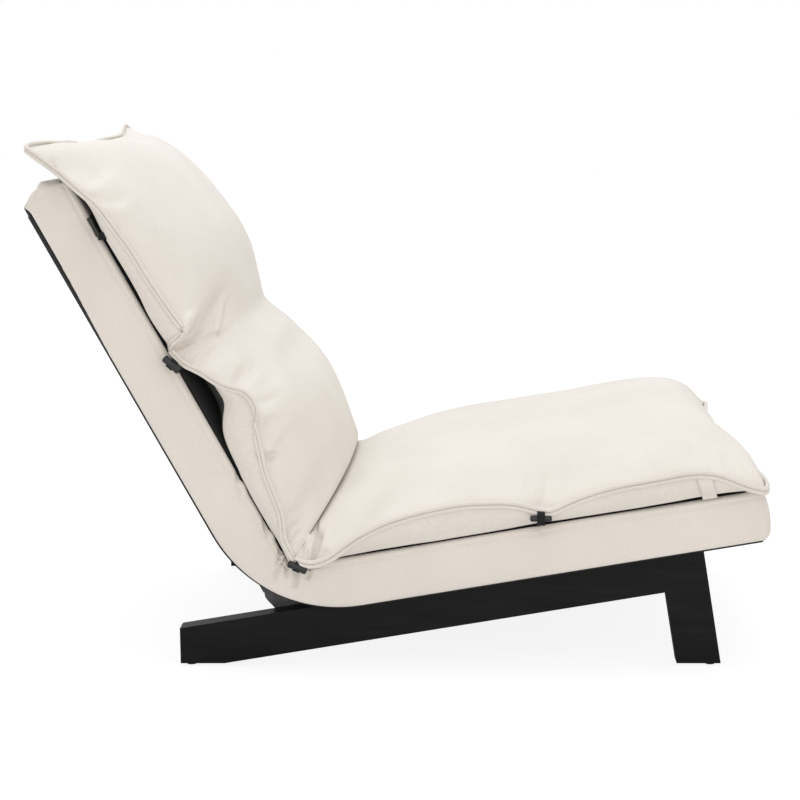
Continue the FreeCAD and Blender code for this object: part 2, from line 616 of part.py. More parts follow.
# Pawl, shown tripped out of the teeth as it is while the back moves
def pawl():
    shape = [(-3.5, -18.5), (-3.3, -16.6), (-0.3, -14), (-1.5, -5), (-1.5, 0), (5, 0), (5, -5), (4.5, -18), (2.5, -20.5)]
    at = (size("pawl_forward"), size("pawl_reach"))
    points = [(a + at[0], b + at[1]) for a, b in shape]
    body = plate("pawl_blank", points, "sizes.arm_thick", armInner, seatFrame)
    addPad(body, "pawl_boss", [Part.Circle(V(-at[0], at[1]), V(0, 0, 1), 5.5)], "sizes.arm_thick")
    bore = rod("pawl_bore", "sizes.pawl_pin_radius + sizes.pin_play", "2 * sizes.arm_thick", armInner + " - 1",
               "-sizes.pawl_forward", "sizes.pawl_reach", acrossAxis)
    right = cut("pawl_right", body, placed(group("pawl_bore_placed", [bore]), seatFrame))
    keep(right, mirrored("pawl_left", right))


pawl()


# Leaf spring round the spacer, with a leg beside the pawl
def pawlSpring():
    centre = (size("pawl_forward") + 20, 10)
    inner = size("spacer_radius")
    thick = size("spring_thick")
    ring = rod("spring_ring_outside", "sizes.spacer_radius + sizes.spring_thick", "sizes.arm_thick - 1.5",
               armInner + " + 0.8", "-(sizes.pawl_forward + 20)", "10", acrossAxis)
    low = centre[1] - inner - thick
    leg = [(centre[0], low), (centre[0], low + thick), (size("pawl_forward") + 6.1, 2.6),
           (size("pawl_forward") + 6.1, 2.6 - thick)]
    legBody = plate("spring_leg", leg, "sizes.arm_thick - 1.5", armInner + " + 0.8", seatFrame)
    whole = fuse("spring_whole", [placed(group("spring_ring", [ring]), seatFrame), legBody])
    right = cut("pawl_spring_right", whole, spacer)
    keep(right, mirrored("pawl_spring_left", right))


pawlSpring()


# Puffs of the topper: each row gives the place along, then base, seam and crown above the pad. Its last
# value goes from 0, as narrow as the pad, to 1, the full width of the topper.
seatRows = [(0.028, 0, 0.08, 0.52, -0.08), (0.085, 0, 0.08, 0.62, 0.05), (0.135, 0, 0.10, 0.69, 0.30),
            (0.218, 0, 0.25, 0.79, 0.75), (0.280, 0, 0.32, 0.90, 0.87), (0.383, 0, 0.36, 0.98, 0.68),
            (0.494, 0, 0.34, 1.00, 0.32), (0.559, 0, 0.19, 1.00, -0.03), (0.633, 0, 0.27, 1.00, 0.37),
            (0.752, 0, 0.32, 1.00, 0.68), (0.867, 0, 0.32, 0.97, 0.87), (0.912, 0, 0.28, 0.89, 0.87),
            (0.939, 0, 0.17, 0.75, 0.77), (0.970, 0, 0.10, 0.46, 0.50), (0.997, 0, 0.05, 0.17, 0.00)]
lumbarRows = [(0.030, 0, 0.15, 0.45, 0.40), (0.083, 0, 0.10, 0.68, 0.50), (0.151, 0, 0.21, 0.86, 0.59),
              (0.207, 0, 0.24, 0.95, 0.68), (0.292, 0, 0.33, 0.98, 0.77), (0.347, 0, 0.44, 1.00, 0.82),
              (0.390, 0, 0.50, 0.96, 0.77), (0.437, 0, 0.33, 0.91, 0.59), (0.468, 0, 0.26, 0.86, 0.45),
              (0.511, 0, 0.19, 0.79, 0.17), (0.540, 0, 0.08, 0.74, -0.03), (0.5688, 0, 0.05, 0.71, 0.00)]
headRows = [(0.5702, 0, 0.05, 0.71, 0.00), (0.593, 0, 0.16, 0.76, 0.25), (0.639, 0, 0.12, 0.82, 0.50),
            (0.693, 0, 0.13, 0.88, 0.55), (0.744, 0, 0.13, 0.88, 0.59), (0.821, 0, 0.12, 0.84, 0.25),
            (0.894, 0, 0.09, 0.77, -0.03), (0.952, 0, 0.04, 0.67, 0.29), (0.985, 0, 0.03, 0.60, 0.68),
            (1.019, -0.10, -0.05, 0.47, 0.77), (1.057, -0.17, -0.12, 0.25, 0.63),
            (1.079, -0.20, -0.15, -0.02, 0.09)]


def puffSection(base, seam, crown, half, up):
    rise = seam - base
    over = crown - seam
    overhang = 0.25 * half
    bow = (overhang ** 2 + rise ** 2) / (2 * rise)
    turn = math.asin(overhang / bow) / 2
    midArc = (half - overhang + bow * math.sin(turn), base + bow * (1 - math.cos(turn)))
    right = [(half - overhang, base), midArc, (half, seam), (0.88 * half, seam + 0.55 * over),
             (0.62 * half, seam + 0.86 * over)]
    p = [V(x, up * y) for x, y in right]
    q = [V(-x, up * y) for x, y in right]
    return [Part.LineSegment(q[0], p[0]), Part.Arc(p[0], p[1], p[2]), Part.Arc(p[2], p[3], p[4]),
            Part.Arc(p[4], V(0, up * crown), q[4]), Part.Arc(q[4], q[3], q[2]), Part.Arc(q[2], q[1], q[0])]


def puff(name, rows, length, face, height, frame, role, up):
    body = named("PartDesign::Body", name)
    body.Placement = frame
    plane = [o for o in body.Origin.OriginFeatures if o.Role == role][0]
    sketches = []
    for i, (share, base, seam, crown, width) in enumerate(rows):
        sketch = body.newObject("Sketcher::SketchObject", "%s_section_%d" % (name, i))
        sketch.AttachmentSupport = [(plane, "")]
        sketch.MapMode = "FlatFace"
        sketch.AttachmentOffset = FreeCAD.Placement(V(0, 0, share * length), FreeCAD.Rotation())
        low = face + size("soft_gap")
        narrow = size("pad_width") / 2 - size("cloth")
        half = narrow + width * (size("topper_width") / 2 - narrow)
        for edge in puffSection(low + base * height, low + seam * height, low + crown * height, half, up):
            sketch.addGeometry(edge, False)
        sketches.append(sketch)
    loft = body.newObject("PartDesign::AdditiveLoft", name + "_loft")
    loft.Profile = sketches[0]
    loft.Sections = sketches[1:]
    return body


seatFace = size("pad_depth") - size("seat_drop")
backFace = size("pad_depth") - size("back_drop")
seatWhole = puff("seat_puff_whole", seatRows, size("pad_front"), seatFace, size("seat_puff"), seatFrame, "XZ_Plane", 1)
lumbarWhole = puff("lumbar_puff_whole", lumbarRows, size("pad_head"), backFace, size("lumbar_puff"), backFrame,
                   "XY_Plane", -1)
keep(common("seat_puff", seatWhole, seatSide), common("lumbar_puff", lumbarWhole, backSide))
keep(puff("head_puff", headRows, size("pad_head"), backFace, size("lumbar_puff"), backFrame, "XY_Plane", -1))


# Toggles in their loops along both sides of the pad
def toggles(name, frame, places):
    bars = []
    loops = []
    tilt = "sizes.pad_width / 2"
    for i, (along, height, direction) in enumerate(places):
        centre = "%s + sizes.loop_side / 2" % tilt
        bar = rod("%s_bar_%d" % (name, i), "sizes.toggle_radius", "sizes.toggle_length", centre, "0", "0", direction)
        rounded = named("Part::Fillet", "%s_toggle_%d" % (name, i))
        rounded.Base = bar
        round = 0.8 * size("toggle_radius")
        rounded.Edges = [(1, round, round), (3, round, round)]
        half = size("toggle_length") / 2
        middle = V(0, along, height) - direction * half
        bind(bar, Placement_Base_y="%f" % middle.y, Placement_Base_z="%f" % middle.z)
        loopSizes = ["sizes.loop_width", "sizes.loop_height"]
        holeSizes = ["(sizes.loop_width + 2)", "(sizes.loop_height - 2 * sizes.loop_thick)"]
        if direction.z:
            loopSizes.reverse()
            holeSizes.reverse()
        outer = box("%s_loop_%d_outside" % (name, i), "sizes.loop_side", loopSizes[0], loopSizes[1], tilt,
                    "%f - %s / 2" % (along, loopSizes[0]), "%f - %s / 2" % (height, loopSizes[1]))
        inner = box("%s_loop_%d_inside" % (name, i), "sizes.loop_side - 2 * sizes.loop_thick", holeSizes[0],
                    holeSizes[1], tilt + " + sizes.loop_thick", "%f - %s / 2" % (along, holeSizes[0]),
                    "%f - %s / 2" % (height, holeSizes[1]))
        loop = cut("%s_loop_%d" % (name, i), outer, inner)
        bars += [rounded, mirrored("%s_toggle_%d_left" % (name, i), rounded)]
        loops += [loop, mirrored("%s_loop_%d_left" % (name, i), loop)]
    keep(placed(group(name + "_toggles", bars), frame), placed(group(name + "_loops", loops), frame))


toggles("seat", seatFrame, [(-0.07 * size("pad_front"), seatFace - 2, V(0, 1, 0)),
                            (-0.555 * size("pad_front"), seatFace + 7, V(0, 1, 0))])
toggles("back", backFrame, [(-backFace - 5, 0.54 * size("pad_head"), V(0, 0, 1)),
                            (-backFace - 5, 0.878 * size("pad_head"), V(0, 0, 1))])

tabs = []
tabBlock = box("seat_tab_right", "1.5", "sizes.tab_width", "26", "sizes.pad_width / 2",
               "-(sizes.pad_front - 70)", "sizes.pad_depth - sizes.seat_drop - 9")
keep(placed(group("seat_tabs", [tabBlock, mirrored("seat_tab_left", tabBlock)]), seatFrame))

# Check every object, then write the parts
doc.recompute()
faults = [made.Label for made in doc.Objects if "Invalid" in made.State or "Error" in made.State]
for made in kept:
    shape = made.Shape
    if shape.isNull() or not shape.isValid() or not shape.Solids:
        faults.append(made.Label)
if faults:
    raise RuntimeError("faulty objects: %s" % ", ".join(faults))
os.makedirs("parts", exist_ok=True)
for made in kept:
    made.Shape.exportStep(os.path.join("parts", made.Label + ".step"))
print("%d nodes written" % len(kept))
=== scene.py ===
import json
import math

import bmesh
import bpy
from mathutils import Matrix, Vector, noise
from mathutils.bvhtree import BVHTree


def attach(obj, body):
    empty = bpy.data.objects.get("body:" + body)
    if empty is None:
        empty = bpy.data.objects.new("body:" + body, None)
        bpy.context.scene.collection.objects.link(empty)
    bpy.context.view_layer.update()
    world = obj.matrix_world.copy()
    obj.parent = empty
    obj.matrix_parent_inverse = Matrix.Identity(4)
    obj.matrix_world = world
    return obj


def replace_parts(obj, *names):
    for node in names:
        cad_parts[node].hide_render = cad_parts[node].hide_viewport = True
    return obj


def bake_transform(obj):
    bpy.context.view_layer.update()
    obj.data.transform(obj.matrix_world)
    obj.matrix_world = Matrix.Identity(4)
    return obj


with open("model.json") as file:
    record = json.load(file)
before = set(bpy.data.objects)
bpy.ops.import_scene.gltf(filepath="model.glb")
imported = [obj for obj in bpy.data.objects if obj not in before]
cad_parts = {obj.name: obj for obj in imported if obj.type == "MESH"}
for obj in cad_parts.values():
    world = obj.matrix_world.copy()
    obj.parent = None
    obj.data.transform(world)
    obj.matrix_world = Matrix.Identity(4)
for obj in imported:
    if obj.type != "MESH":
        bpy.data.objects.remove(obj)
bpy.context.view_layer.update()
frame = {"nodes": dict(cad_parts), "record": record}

print("frame loaded")

# the two slopes of the chair meet at the hinge pin; lengths along and above them are in millimetres
chair = {
    "pinY": 0.188028, "pinZ": 0.108,
    "seatSlope": math.radians(9.4), "backSlope": math.radians(61.5),
    "crease": (35.9, 43.0), "creaseUpBack": 28.9, "halfPad": 345.0,
}


def seatSpot(s, n, x=0.0):
    c, k = math.cos(chair["seatSlope"]), math.sin(chair["seatSlope"])
    return Vector((x / 1000, chair["pinY"] + (n * k - s * c) / 1000, chair["pinZ"] + (s * k + n * c) / 1000))


def backSpot(b, m, x=0.0):
    c, k = math.cos(chair["backSlope"]), math.sin(chair["backSlope"])
    return Vector((x / 1000, chair["pinY"] + (b * c - m * k) / 1000, chair["pinZ"] + (b * k + m * c) / 1000))


# the plane halfway between the slopes: up from the pin to the crease, and across it to the back
creaseSpot = seatSpot(*chair["crease"])
pinSpot = seatSpot(0, 0)
mitreUp = (creaseSpot - pinSpot).normalized()
mitreAcross = mitreUp.cross(Vector((1, 0, 0))).normalized()


def clamp(v):
    return max(0.0, min(1.0, v))


def ease(v):
    v = clamp(v)
    return v * v * (3 - 2 * v)


def smoothRow(rows, t):
    # a smooth line through the rows, read at t from 0 to 1
    place = clamp(t) * (len(rows) - 1)
    i = min(int(place), len(rows) - 2)
    f = place - i
    a, b, c, d = (rows[max(0, min(len(rows) - 1, i + k))] for k in (-1, 0, 1, 2))
    return [0.5 * (2 * q + (r - p) * f + (2 * p - 5 * q + 4 * r - w) * f * f + (3 * q - p - 3 * r + w) * f ** 3)
            for p, q, r, w in zip(a, b, c, d)]


def runAlong(spots, gap):
    # how far each spot lies along the line, where gap gives the distance between two
    run = [0.0]
    for p, q in zip(spots, spots[1:]):
        run.append(run[-1] + gap(p, q))
    return run


def evenPlaces(run, count):
    # where even steps fall on such a line: the spot before, and the share of the way to the next
    places, j = [], 0
    for k in range(count + 1):
        want = run[-1] * k / count
        while j < len(run) - 2 and run[j + 1] < want:
            j += 1
        places.append((j, (want - run[j]) / (run[j + 1] - run[j])))
    return places


def thicken(piece, thickness):
    wall = piece.modifiers.new("cloth", "SOLIDIFY")
    wall.thickness = thickness
    wall.offset = 0.0
    return piece


def linked(thing):
    bpy.context.scene.collection.objects.link(thing)
    return thing


def finished(bm, name, *finishes):
    # a piece with smooth faces that point outwards
    bmesh.ops.recalc_face_normals(bm, faces=bm.faces)
    middle = sum((v.co for v in bm.verts), Vector()) / len(bm.verts)
    if sum((f.calc_center_median() - middle).dot(f.normal) * f.calc_area() for f in bm.faces) < 0:
        bmesh.ops.reverse_faces(bm, faces=bm.faces)
    mesh = bpy.data.meshes.new(name)
    bm.to_mesh(mesh)
    bm.free()
    mesh.shade_smooth()
    for finish in finishes:
        mesh.materials.append(finish)
    return linked(bpy.data.objects.new(name, mesh))


# materials
def newMaterial(name):
    mat = bpy.data.materials.new(name)
    mat.use_nodes = True
    tree = mat.node_tree
    shader = tree.nodes["Principled BSDF"]
    return mat, tree, shader


def setInputs(tree, made, inputs):
    # each input gets a value, or a link from another node's output
    for key, value in inputs.items():
        if isinstance(value, bpy.types.NodeSocket):
            tree.links.new(value, made.inputs[key])
        else:
            made.inputs[key].default_value = value
    return made


def node(tree, kind, inputs=None, **settings):
    made = tree.nodes.new("ShaderNode" + kind)
    for key, value in settings.items():
        setattr(made, key, value)
    return setInputs(tree, made, inputs or {})


def ramp(tree, source, low, high, stops=(0.35, 0.65)):
    made = node(tree, "ValToRGB", {"Fac": source})
    made.color_ramp.elements[0].position = stops[0]
    made.color_ramp.elements[1].position = stops[1]
    made.color_ramp.elements[0].color = (*low, 1)
    made.color_ramp.elements[1].color = (*high, 1)
    return made.outputs["Color"]


def wovenCloth(name, low, high, pitch, roughness, sheen):
    # a close twill whose threads follow the piece's own cloth map, in metres; a wave of scale 1 is 0.314 m long
    mat, tree, shader = newMaterial(name)
    scale = 0.314 / pitch
    place = node(tree, "TexCoord")
    alongCloth, overPiece = place.outputs["UV"], place.outputs["Object"]
    warp = node(tree, "Mapping", {"Vector": alongCloth, "Rotation": (0, 0, math.radians(27))})
    twill = node(tree, "TexWave", {"Vector": warp.outputs["Vector"], "Scale": scale, "Distortion": 0.25, "Detail": 1.0,
                                   "Detail Scale": 2.0})
    cross = node(tree, "TexWave", {"Vector": alongCloth, "Scale": scale, "Distortion": 0.25}, bands_direction="Y")
    slub = node(tree, "TexNoise", {"Vector": alongCloth, "Scale": 420.0, "Detail": 3.0, "Roughness": 0.65})
    shade = node(tree, "TexNoise", {"Vector": overPiece, "Scale": 9.0, "Detail": 4.0, "Roughness": 0.55})
    threads = node(tree, "Math", {0: twill.outputs["Fac"], 1: cross.outputs["Fac"]}, operation="MULTIPLY")
    mixed = node(tree, "Math", {0: threads.outputs[0], 1: 0.5, 2: slub.outputs["Fac"]}, operation="MULTIPLY_ADD")
    half = node(tree, "Math", {0: shade.outputs["Fac"], 1: 0.35}, operation="MULTIPLY")
    tone = node(tree, "Math", {0: mixed.outputs[0], 1: 0.6, 2: half.outputs[0]}, operation="MULTIPLY_ADD")
    bump = node(tree, "Bump", {"Height": mixed.outputs[0], "Strength": 0.3, "Distance": 0.0004})
    rough = node(tree, "MapRange", {"Value": slub.outputs["Fac"], "To Min": roughness - 0.06,
                                    "To Max": roughness + 0.06})
    setInputs(tree, shader, {
        "Base Color": ramp(tree, tone.outputs[0], low, high, (0.3, 0.8)), "Normal": bump.outputs["Normal"],
        "Roughness": rough.outputs["Result"], "Sheen Weight": sheen, "Sheen Roughness": 0.5,
        "Specular IOR Level": 0.2})
    return mat


def hardFinish(name, low, high, roughness, metal, grain, stretch=(1, 1, 1), bumpDepth=0.0002, strength=0.2, shine=0.5):
    # a hard surface with a fine grain in its colour, roughness and relief
    mat, tree, shader = newMaterial(name)
    place = node(tree, "TexCoord")
    warp = node(tree, "Mapping", {"Vector": place.outputs["Object"], "Scale": stretch})
    grains = node(tree, "TexNoise", {"Vector": warp.outputs["Vector"], "Scale": grain, "Detail": 6.0,
                                     "Roughness": 0.6, "Distortion": 0.3})
    fine = grains.outputs["Fac"]
    rough = node(tree, "MapRange", {"Value": fine, "To Min": roughness - 0.07, "To Max": roughness + 0.07})
    bump = node(tree, "Bump", {"Height": fine, "Strength": strength, "Distance": bumpDepth})
    setInputs(tree, shader, {
        "Base Color": ramp(tree, fine, low, high), "Roughness": rough.outputs["Result"],
        "Normal": bump.outputs["Normal"], "Metallic": metal, "Specular IOR Level": shine})
    return mat


creamCloth = wovenCloth("creamCloth", (0.67, 0.626, 0.573), (0.83, 0.783, 0.726), 0.0014, 0.85, 0.12)
blackCloth = wovenCloth("blackCloth", (0.008, 0.008, 0.009), (0.02, 0.02, 0.022), 0.0012, 0.8, 0.1)
blackBoard = hardFinish("blackBoard", (0.004, 0.004, 0.004), (0.008, 0.008, 0.008), 0.46, 0.0, 14.0,
                        (6, 0.7, 6), 0.0002, 0.3, 0.14)
birchWood = hardFinish("birchWood", (0.50, 0.34, 0.18), (0.66, 0.48, 0.29), 0.5, 0.0, 12.0, (0.6, 8, 8))
blackTube = hardFinish("blackTube", (0.010, 0.010, 0.011), (0.018, 0.018, 0.019), 0.38, 0.0, 160.0)
zincSteel = hardFinish("zincSteel", (0.42, 0.43, 0.44), (0.60, 0.61, 0.62), 0.32, 1.0, 90.0)
springSteel = hardFinish("springSteel", (0.16, 0.16, 0.18), (0.26, 0.26, 0.28), 0.28, 1.0, 120.0)
hingeSteel = hardFinish("hingeSteel", (0.05, 0.05, 0.055), (0.09, 0.09, 0.095), 0.4, 0.6, 110.0)
mouldedBlack = hardFinish("mouldedBlack", (0.006, 0.006, 0.006), (0.012, 0.012, 0.012), 0.42, 0.0, 400.0)
padFoam = hardFinish("padFoam", (0.62, 0.58, 0.42), (0.74, 0.70, 0.54), 0.9, 0.0, 300.0, (1, 1, 1), 0.001, 0.6)
loopElastic = wovenCloth("loopElastic", (0.006, 0.006, 0.007), (0.016, 0.016, 0.018), 0.0010, 0.7, 0.1)

bySlot = {
    "black_board": blackBoard, "birch": birchWood, "dowel_wood": birchWood, "black_tube": blackTube,
    "hinge_plate": hingeSteel, "zinc_steel": zincSteel, "spring_steel": springSteel,
    "holder_plastic": mouldedBlack, "glide_plastic": mouldedBlack, "toggle_plastic": mouldedBlack,
    "loop_cord": loopElastic, "foam": padFoam, "cream_cloth": creamCloth, "black_cloth": blackCloth,
}
nodeSlot = {row["node"]: row["material_slot"] for row in frame["record"]["subparts"]}
for name, shown in frame["nodes"].items():
    shown.data.materials.clear()
    shown.data.materials.append(bySlot[nodeSlot[name]])
print("materials made", len(nodeSlot))

# the boards with eased edges
board = {"weld": 0.00002, "flat": math.radians(1), "sharp": math.radians(40), "rounding": 0.0012, "steps": 3}


def softBoard(name, source):
    # a copy of a board, its loose triangles joined and its edges eased
    bm = bmesh.new()
    bm.from_mesh(frame["nodes"][source].data)
    bmesh.ops.remove_doubles(bm, verts=bm.verts, dist=board["weld"])
    bmesh.ops.dissolve_limit(bm, angle_limit=board["flat"], verts=bm.verts, edges=bm.edges)
    piece = finished(bm, name, blackBoard)
    piece.data.shade_flat()
    eased = piece.modifiers.new("eased", "BEVEL")
    eased.width = board["rounding"]
    eased.segments = board["steps"]
    eased.limit_method = "ANGLE"
    eased.angle_limit = board["sharp"]
    eased.harden_normals = True
    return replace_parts(piece, source)


for side in ("right", "left"):
    for part in ("side_beam", "front_leg"):
        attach(softBoard("%s_board_%s" % (part, side), "%s_%s" % (part, side)), "chair")
print("boards made")

# The pad reaches from front to head, and lies from low to top over the seat's slope, rear to sitter over the back's.
# Border: its height at the seat and by the head. Cap seam: place, bow, width, depth. Hinge slot: across, then along.
pad = {
    "front": 705.0, "head": 648.0, "low": -30.0, "top": 43.0, "rear": -25.0, "sitter": 48.0,
    "bend": 198.0, "planCorner": 16.0, "sideRound": 8.0, "frontRound": 14.0, "headRound": 27.0,
    "bulge": 2.2, "capBulge": 6.0, "lip": 7.0, "capLip": 46.0, "spacing": 5.0,
    "border": (2.0, 6.5), "borderGrows": (380.0, 550.0), "borderEnds": (624.0, 633.0), "borderRows": 4,
    "seamDip": 1.1, "capSeam": (631.0, 5.0, 2.2, 1.3),
    "sheet": 0.0012, "topLift": -0.2, "underLift": 0.7, "overlap": 8.0, "hingeSlot": (245.0, 279.0, -130.0, 50.0),
}


def bendPlaces():
    # centre of the outer bend and the places along each slope where it starts
    turn = math.pi - chair["backSlope"] - chair["seatSlope"]
    c, k = math.cos(turn), math.sin(turn)
    n = pad["low"] + pad["bend"]
    m = pad["rear"] + pad["bend"]
    s = (m + c * n) / k
    return turn, s, n, c * s + k * n


bendTurn, bendS, bendN, bendB = bendPlaces()
middleOfBend = (bendB - bendS) / 2


def padSpot(a, h, x=0.0):
    # a runs from the front (-705) over the bend to the head (648), h from 0 at the underside to 1 on top
    if a <= -bendS:
        low, top = seatSpot(-a, pad["low"], x), seatSpot(-a, pad["top"], x)
    elif a >= bendB:
        low, top = backSpot(a, pad["rear"], x), backSpot(a, pad["sitter"], x)
    else:
        share = (a + bendS) / (bendB + bendS)
        angle = -math.pi / 2 - (math.pi - bendTurn) * share
        low = seatSpot(bendS + pad["bend"] * math.cos(angle), bendN + pad["bend"] * math.sin(angle), x)
        if a < middleOfBend:
            f = (a + bendS) / (middleOfBend + bendS)
            top = seatSpot(bendS + (chair["crease"][0] - bendS) * f, pad["top"], x)
        else:
            f = (a - middleOfBend) / (bendB - middleOfBend)
            top = backSpot(chair["creaseUpBack"] + (bendB - chair["creaseUpBack"]) * f, pad["sitter"], x)
    return low.lerp(top, h)


def clothMap(bm, size):
    # the cloth map: each face corner gets the size() of its vertex, in metres
    layer = bm.loops.layers.uv.verify()
    for face in bm.faces:
        for corner in face.loops:
            corner[layer].uv = size(corner.vert)


def beltOutline():
    # round the pad's plan: (x, a, outward x, outward a) along each straight side and the quarter round after it
    r = pad["planCorner"]
    wide, near, far = chair["halfPad"] - r, -pad["front"] + r, pad["head"] - r
    corners = ((wide, far), (-wide, far), (-wide, near), (wide, near))
    spots = []
    for side, (cornerX, cornerA) in enumerate(corners):
        outX, outA = ((1, 0), (0, 1), (-1, 0), (0, -1))[side]
        fromX, fromA = corners[side - 1]
        steps = max(2, round(math.hypot(cornerX - fromX, cornerA - fromA) / pad["spacing"]))
        for k in range(steps):
            f = k / steps
            spots.append((fromX + r * outX + (cornerX - fromX) * f,
                          fromA + r * outA + (cornerA - fromA) * f, outX, outA))
        for k in range(8):
            angle = math.pi / 2 * (side + k / 8)
            c, s = math.cos(angle), math.sin(angle)
            spots.append((cornerX + r * c, cornerA + r * s, c, s))
    return spots


def beltRound(outA):
    # radius of the pad's upper and lower edges: small along the sides, larger at the front and the head
    share = ease(abs(outA))
    return share * pad["headRound" if outA > 0 else "frontRound"] + (1 - share) * pad["sideRound"]


def beltBorder(a):
    # height of the black border along the lower edge: a fine line at the seat, broad by the head, fine on the cap
    fine, broad = pad["border"]
    grows, grown = pad["borderGrows"]
    ends, ended = pad["borderEnds"]
    return fine + (broad - fine) * ease((a - grows) / (grown - grows)) * (1 - ease((a - ends) / (ended - ends)))


def beltSection(r, height, border, swell, lip):
    # from the lip under the pad, round the lower corner, up the side and over the upper corner to the lip
    quarter = [math.pi / 2 * k / 24 for k in range(25)]
    fine = [(-r + r * math.sin(angle), r - r * math.cos(angle)) for angle in quarter]
    fine += [(swell * math.sin(math.pi * k / 40), r + (height - 2 * r) * k / 40) for k in range(1, 40)]
    fine += [(-r + r * math.cos(angle), height - r + r * math.sin(angle)) for angle in quarter]
    run = runAlong(fine, math.dist)
    split = next(run[k] for k, spot in enumerate(fine) if spot[1] >= border)
    seam = run[-1] - math.pi / 2 * min(r, 12) - 1.0
    wants = [split * k / pad["borderRows"] for k in range(pad["borderRows"])]
    wants += [split + (seam - 2 - split) * k / 14 for k in range(15)] + [seam, seam + 2]
    wants += [seam + 2 + (run[-1] - seam - 2) * k / 9 for k in range(1, 10)]
    line = [(-r - pad["lip"], 0.0)]
    for want in wants:
        k = max(i for i in range(len(run) - 1) if run[i] <= want + 1e-6)
        f = clamp((want - run[k]) / max(run[k + 1] - run[k], 1e-9))
        dip = pad["seamDip"] if want == seam else 0.0
        line.append((fine[k][0] + (fine[k + 1][0] - fine[k][0]) * f - dip,
                     fine[k][1] + (fine[k + 1][1] - fine[k][1]) * f))
    line.append((-r - lip, height))
    return line


def makeCasing():
    outline = beltOutline()
    height = pad["top"] - pad["low"]
    sections = [beltSection(beltRound(outA), height, beltBorder(a),
                            pad["bulge"] + (pad["capBulge"] - pad["bulge"]) * ease(outA),
                            pad["lip"] + pad["capLip"] * ease(outA)) for x, a, outX, outA in outline]
    rows = len(sections[0]) - 1
    run = runAlong([spot[:2] for spot in outline + outline[:1]], math.dist)
    seamAt, seamBow, seamWide, seamDeep = pad["capSeam"]
    bm = bmesh.new()
    bmesh.ops.create_grid(bm, x_segments=len(outline), y_segments=rows, size=1.0)
    around, level = {}, {}
    for v in bm.verts:
        i = round((v.co.x + 1) / 2 * len(outline))
        j = round((v.co.y + 1) / 2 * rows)
        x, a, outX, outA = outline[i % len(outline)]
        off, up = sections[i % len(outline)][j]
        capSeam = seamDeep * math.exp(-((a - seamAt - seamBow * math.sin(math.pi * up / height)) / seamWide) ** 2)
        around[v] = (run[i] / 1000, up / 1000)
        level[v] = j
        v.co = padSpot(a + off * outA, up / height, x + (off - capSeam) * outX)
    clothMap(bm, lambda v: around[v])
    for face in bm.faces:
        face.material_index = 1 if max(level[v] for v in face.verts) <= pad["borderRows"] + 1 else 0
    bmesh.ops.remove_doubles(bm, verts=bm.verts, dist=0.00001)
    return finished(bm, "pad_casing", creamCloth, blackCloth)


def makeLid(name, top):
    # a sheet over the top or under the pad, as far as the casing's lips; the lower one is open where the hinges stand
    bm = bmesh.new()
    bmesh.ops.create_grid(bm, x_segments=60, y_segments=150, size=1.0)
    height = pad["top"] - pad["low"]
    halfAcross = chair["halfPad"] - pad["sideRound"] + 1
    first = -pad["front"] + pad["frontRound"]
    last = pad["head"] - pad["headRound"] - (pad["capLip"] - pad["overlap"] if top else 0)
    up = height + pad["topLift"] if top else -pad["underLift"]
    flat = {}
    for v in bm.verts:
        x = v.co.x * halfAcross
        a = first + (last - first) * (v.co.y + 1) / 2
        flat[v] = (x / 1000, a / 1000)
        v.co = padSpot(a, up / height, x)
    if not top:
        near, far, front, rear = pad["hingeSlot"]
        slots = [face for face in bm.faces if near < abs(face.calc_center_median().x) * 1000 < far
                 and all(front < flat[v][1] * 1000 < rear for v in face.verts)]
        bmesh.ops.delete(bm, geom=slots, context="FACES")
    clothMap(bm, lambda v: flat[v])
    return thicken(finished(bm, name, blackCloth), pad["sheet"])


# how a fold is pressed into a side: its reach in widths, where it starts and over how much it grows (metres out from
# the middle), and how far a face may turn away from the side
press = {"reach": 2.6, "from": 0.15, "over": 0.12, "edgeOn": 0.12}


def pressFolds(piece, folds):
    # each fold: places along it as seen from the side (y, z), width, height, and the side that it lies on
    mesh = piece.data
    mesh.update()
    normals = [n.vector.copy() for n in mesh.vertex_normals]
    shifts = {}
    for line, width, height, side in folds:
        reach = width * press["reach"]
        lowY, highY = min(p.x for p in line) - reach, max(p.x for p in line) + reach
        lowZ, highZ = min(p.y for p in line) - reach, max(p.y for p in line) + reach
        for i, v in enumerate(mesh.vertices):
            spot, out = v.co.yz, v.co.x * side
            if not (lowY <= spot.x <= highY and lowZ <= spot.y <= highZ):
                continue
            if out < press["from"] or abs(normals[i].x) < press["edgeOn"]:
                continue
            best, share = 1e9, 0.0
            for k in range(len(line) - 1):
                p, q = line[k], line[k + 1]
                d = q - p
                f = clamp((spot - p).dot(d) / d.length_squared)
                gap = (p + d * f - spot).length
                if gap < best:
                    best, share = gap, (k + f) / (len(line) - 1)
            if best < reach:
                taper = min(1.0, 4 * (1 - share) + 0.02, 6 * share + 0.35)
                push = height * math.exp(-(best / width) ** 2) * taper * ease((out - press["from"]) / press["over"])
                shifts[i] = shifts.get(i, 0.0) + push
    for i, push in shifts.items():
        mesh.vertices[i].co += normals[i] * push
    mesh.update()


def finer(piece, spots, radius):
    # smaller faces at both sides (over 0.25 m out) round some places, as seen from the side, for small folds
    bm = bmesh.new()
    bm.from_mesh(piece.data)
    near = {v for v in bm.verts if abs(v.co.x) > 0.25 and any((v.co.yz - c).length < radius for c in spots)}
    bmesh.ops.subdivide_edges(bm, edges=[e for e in bm.edges if e.verts[0] in near and e.verts[1] in near], cuts=1,
                              use_grid_fill=True)
    bm.to_mesh(piece.data)
    bm.free()


def sideView(spot, *places):
    # places as seen from the side, in metres
    return [spot(a, h).yz for a, h in places]


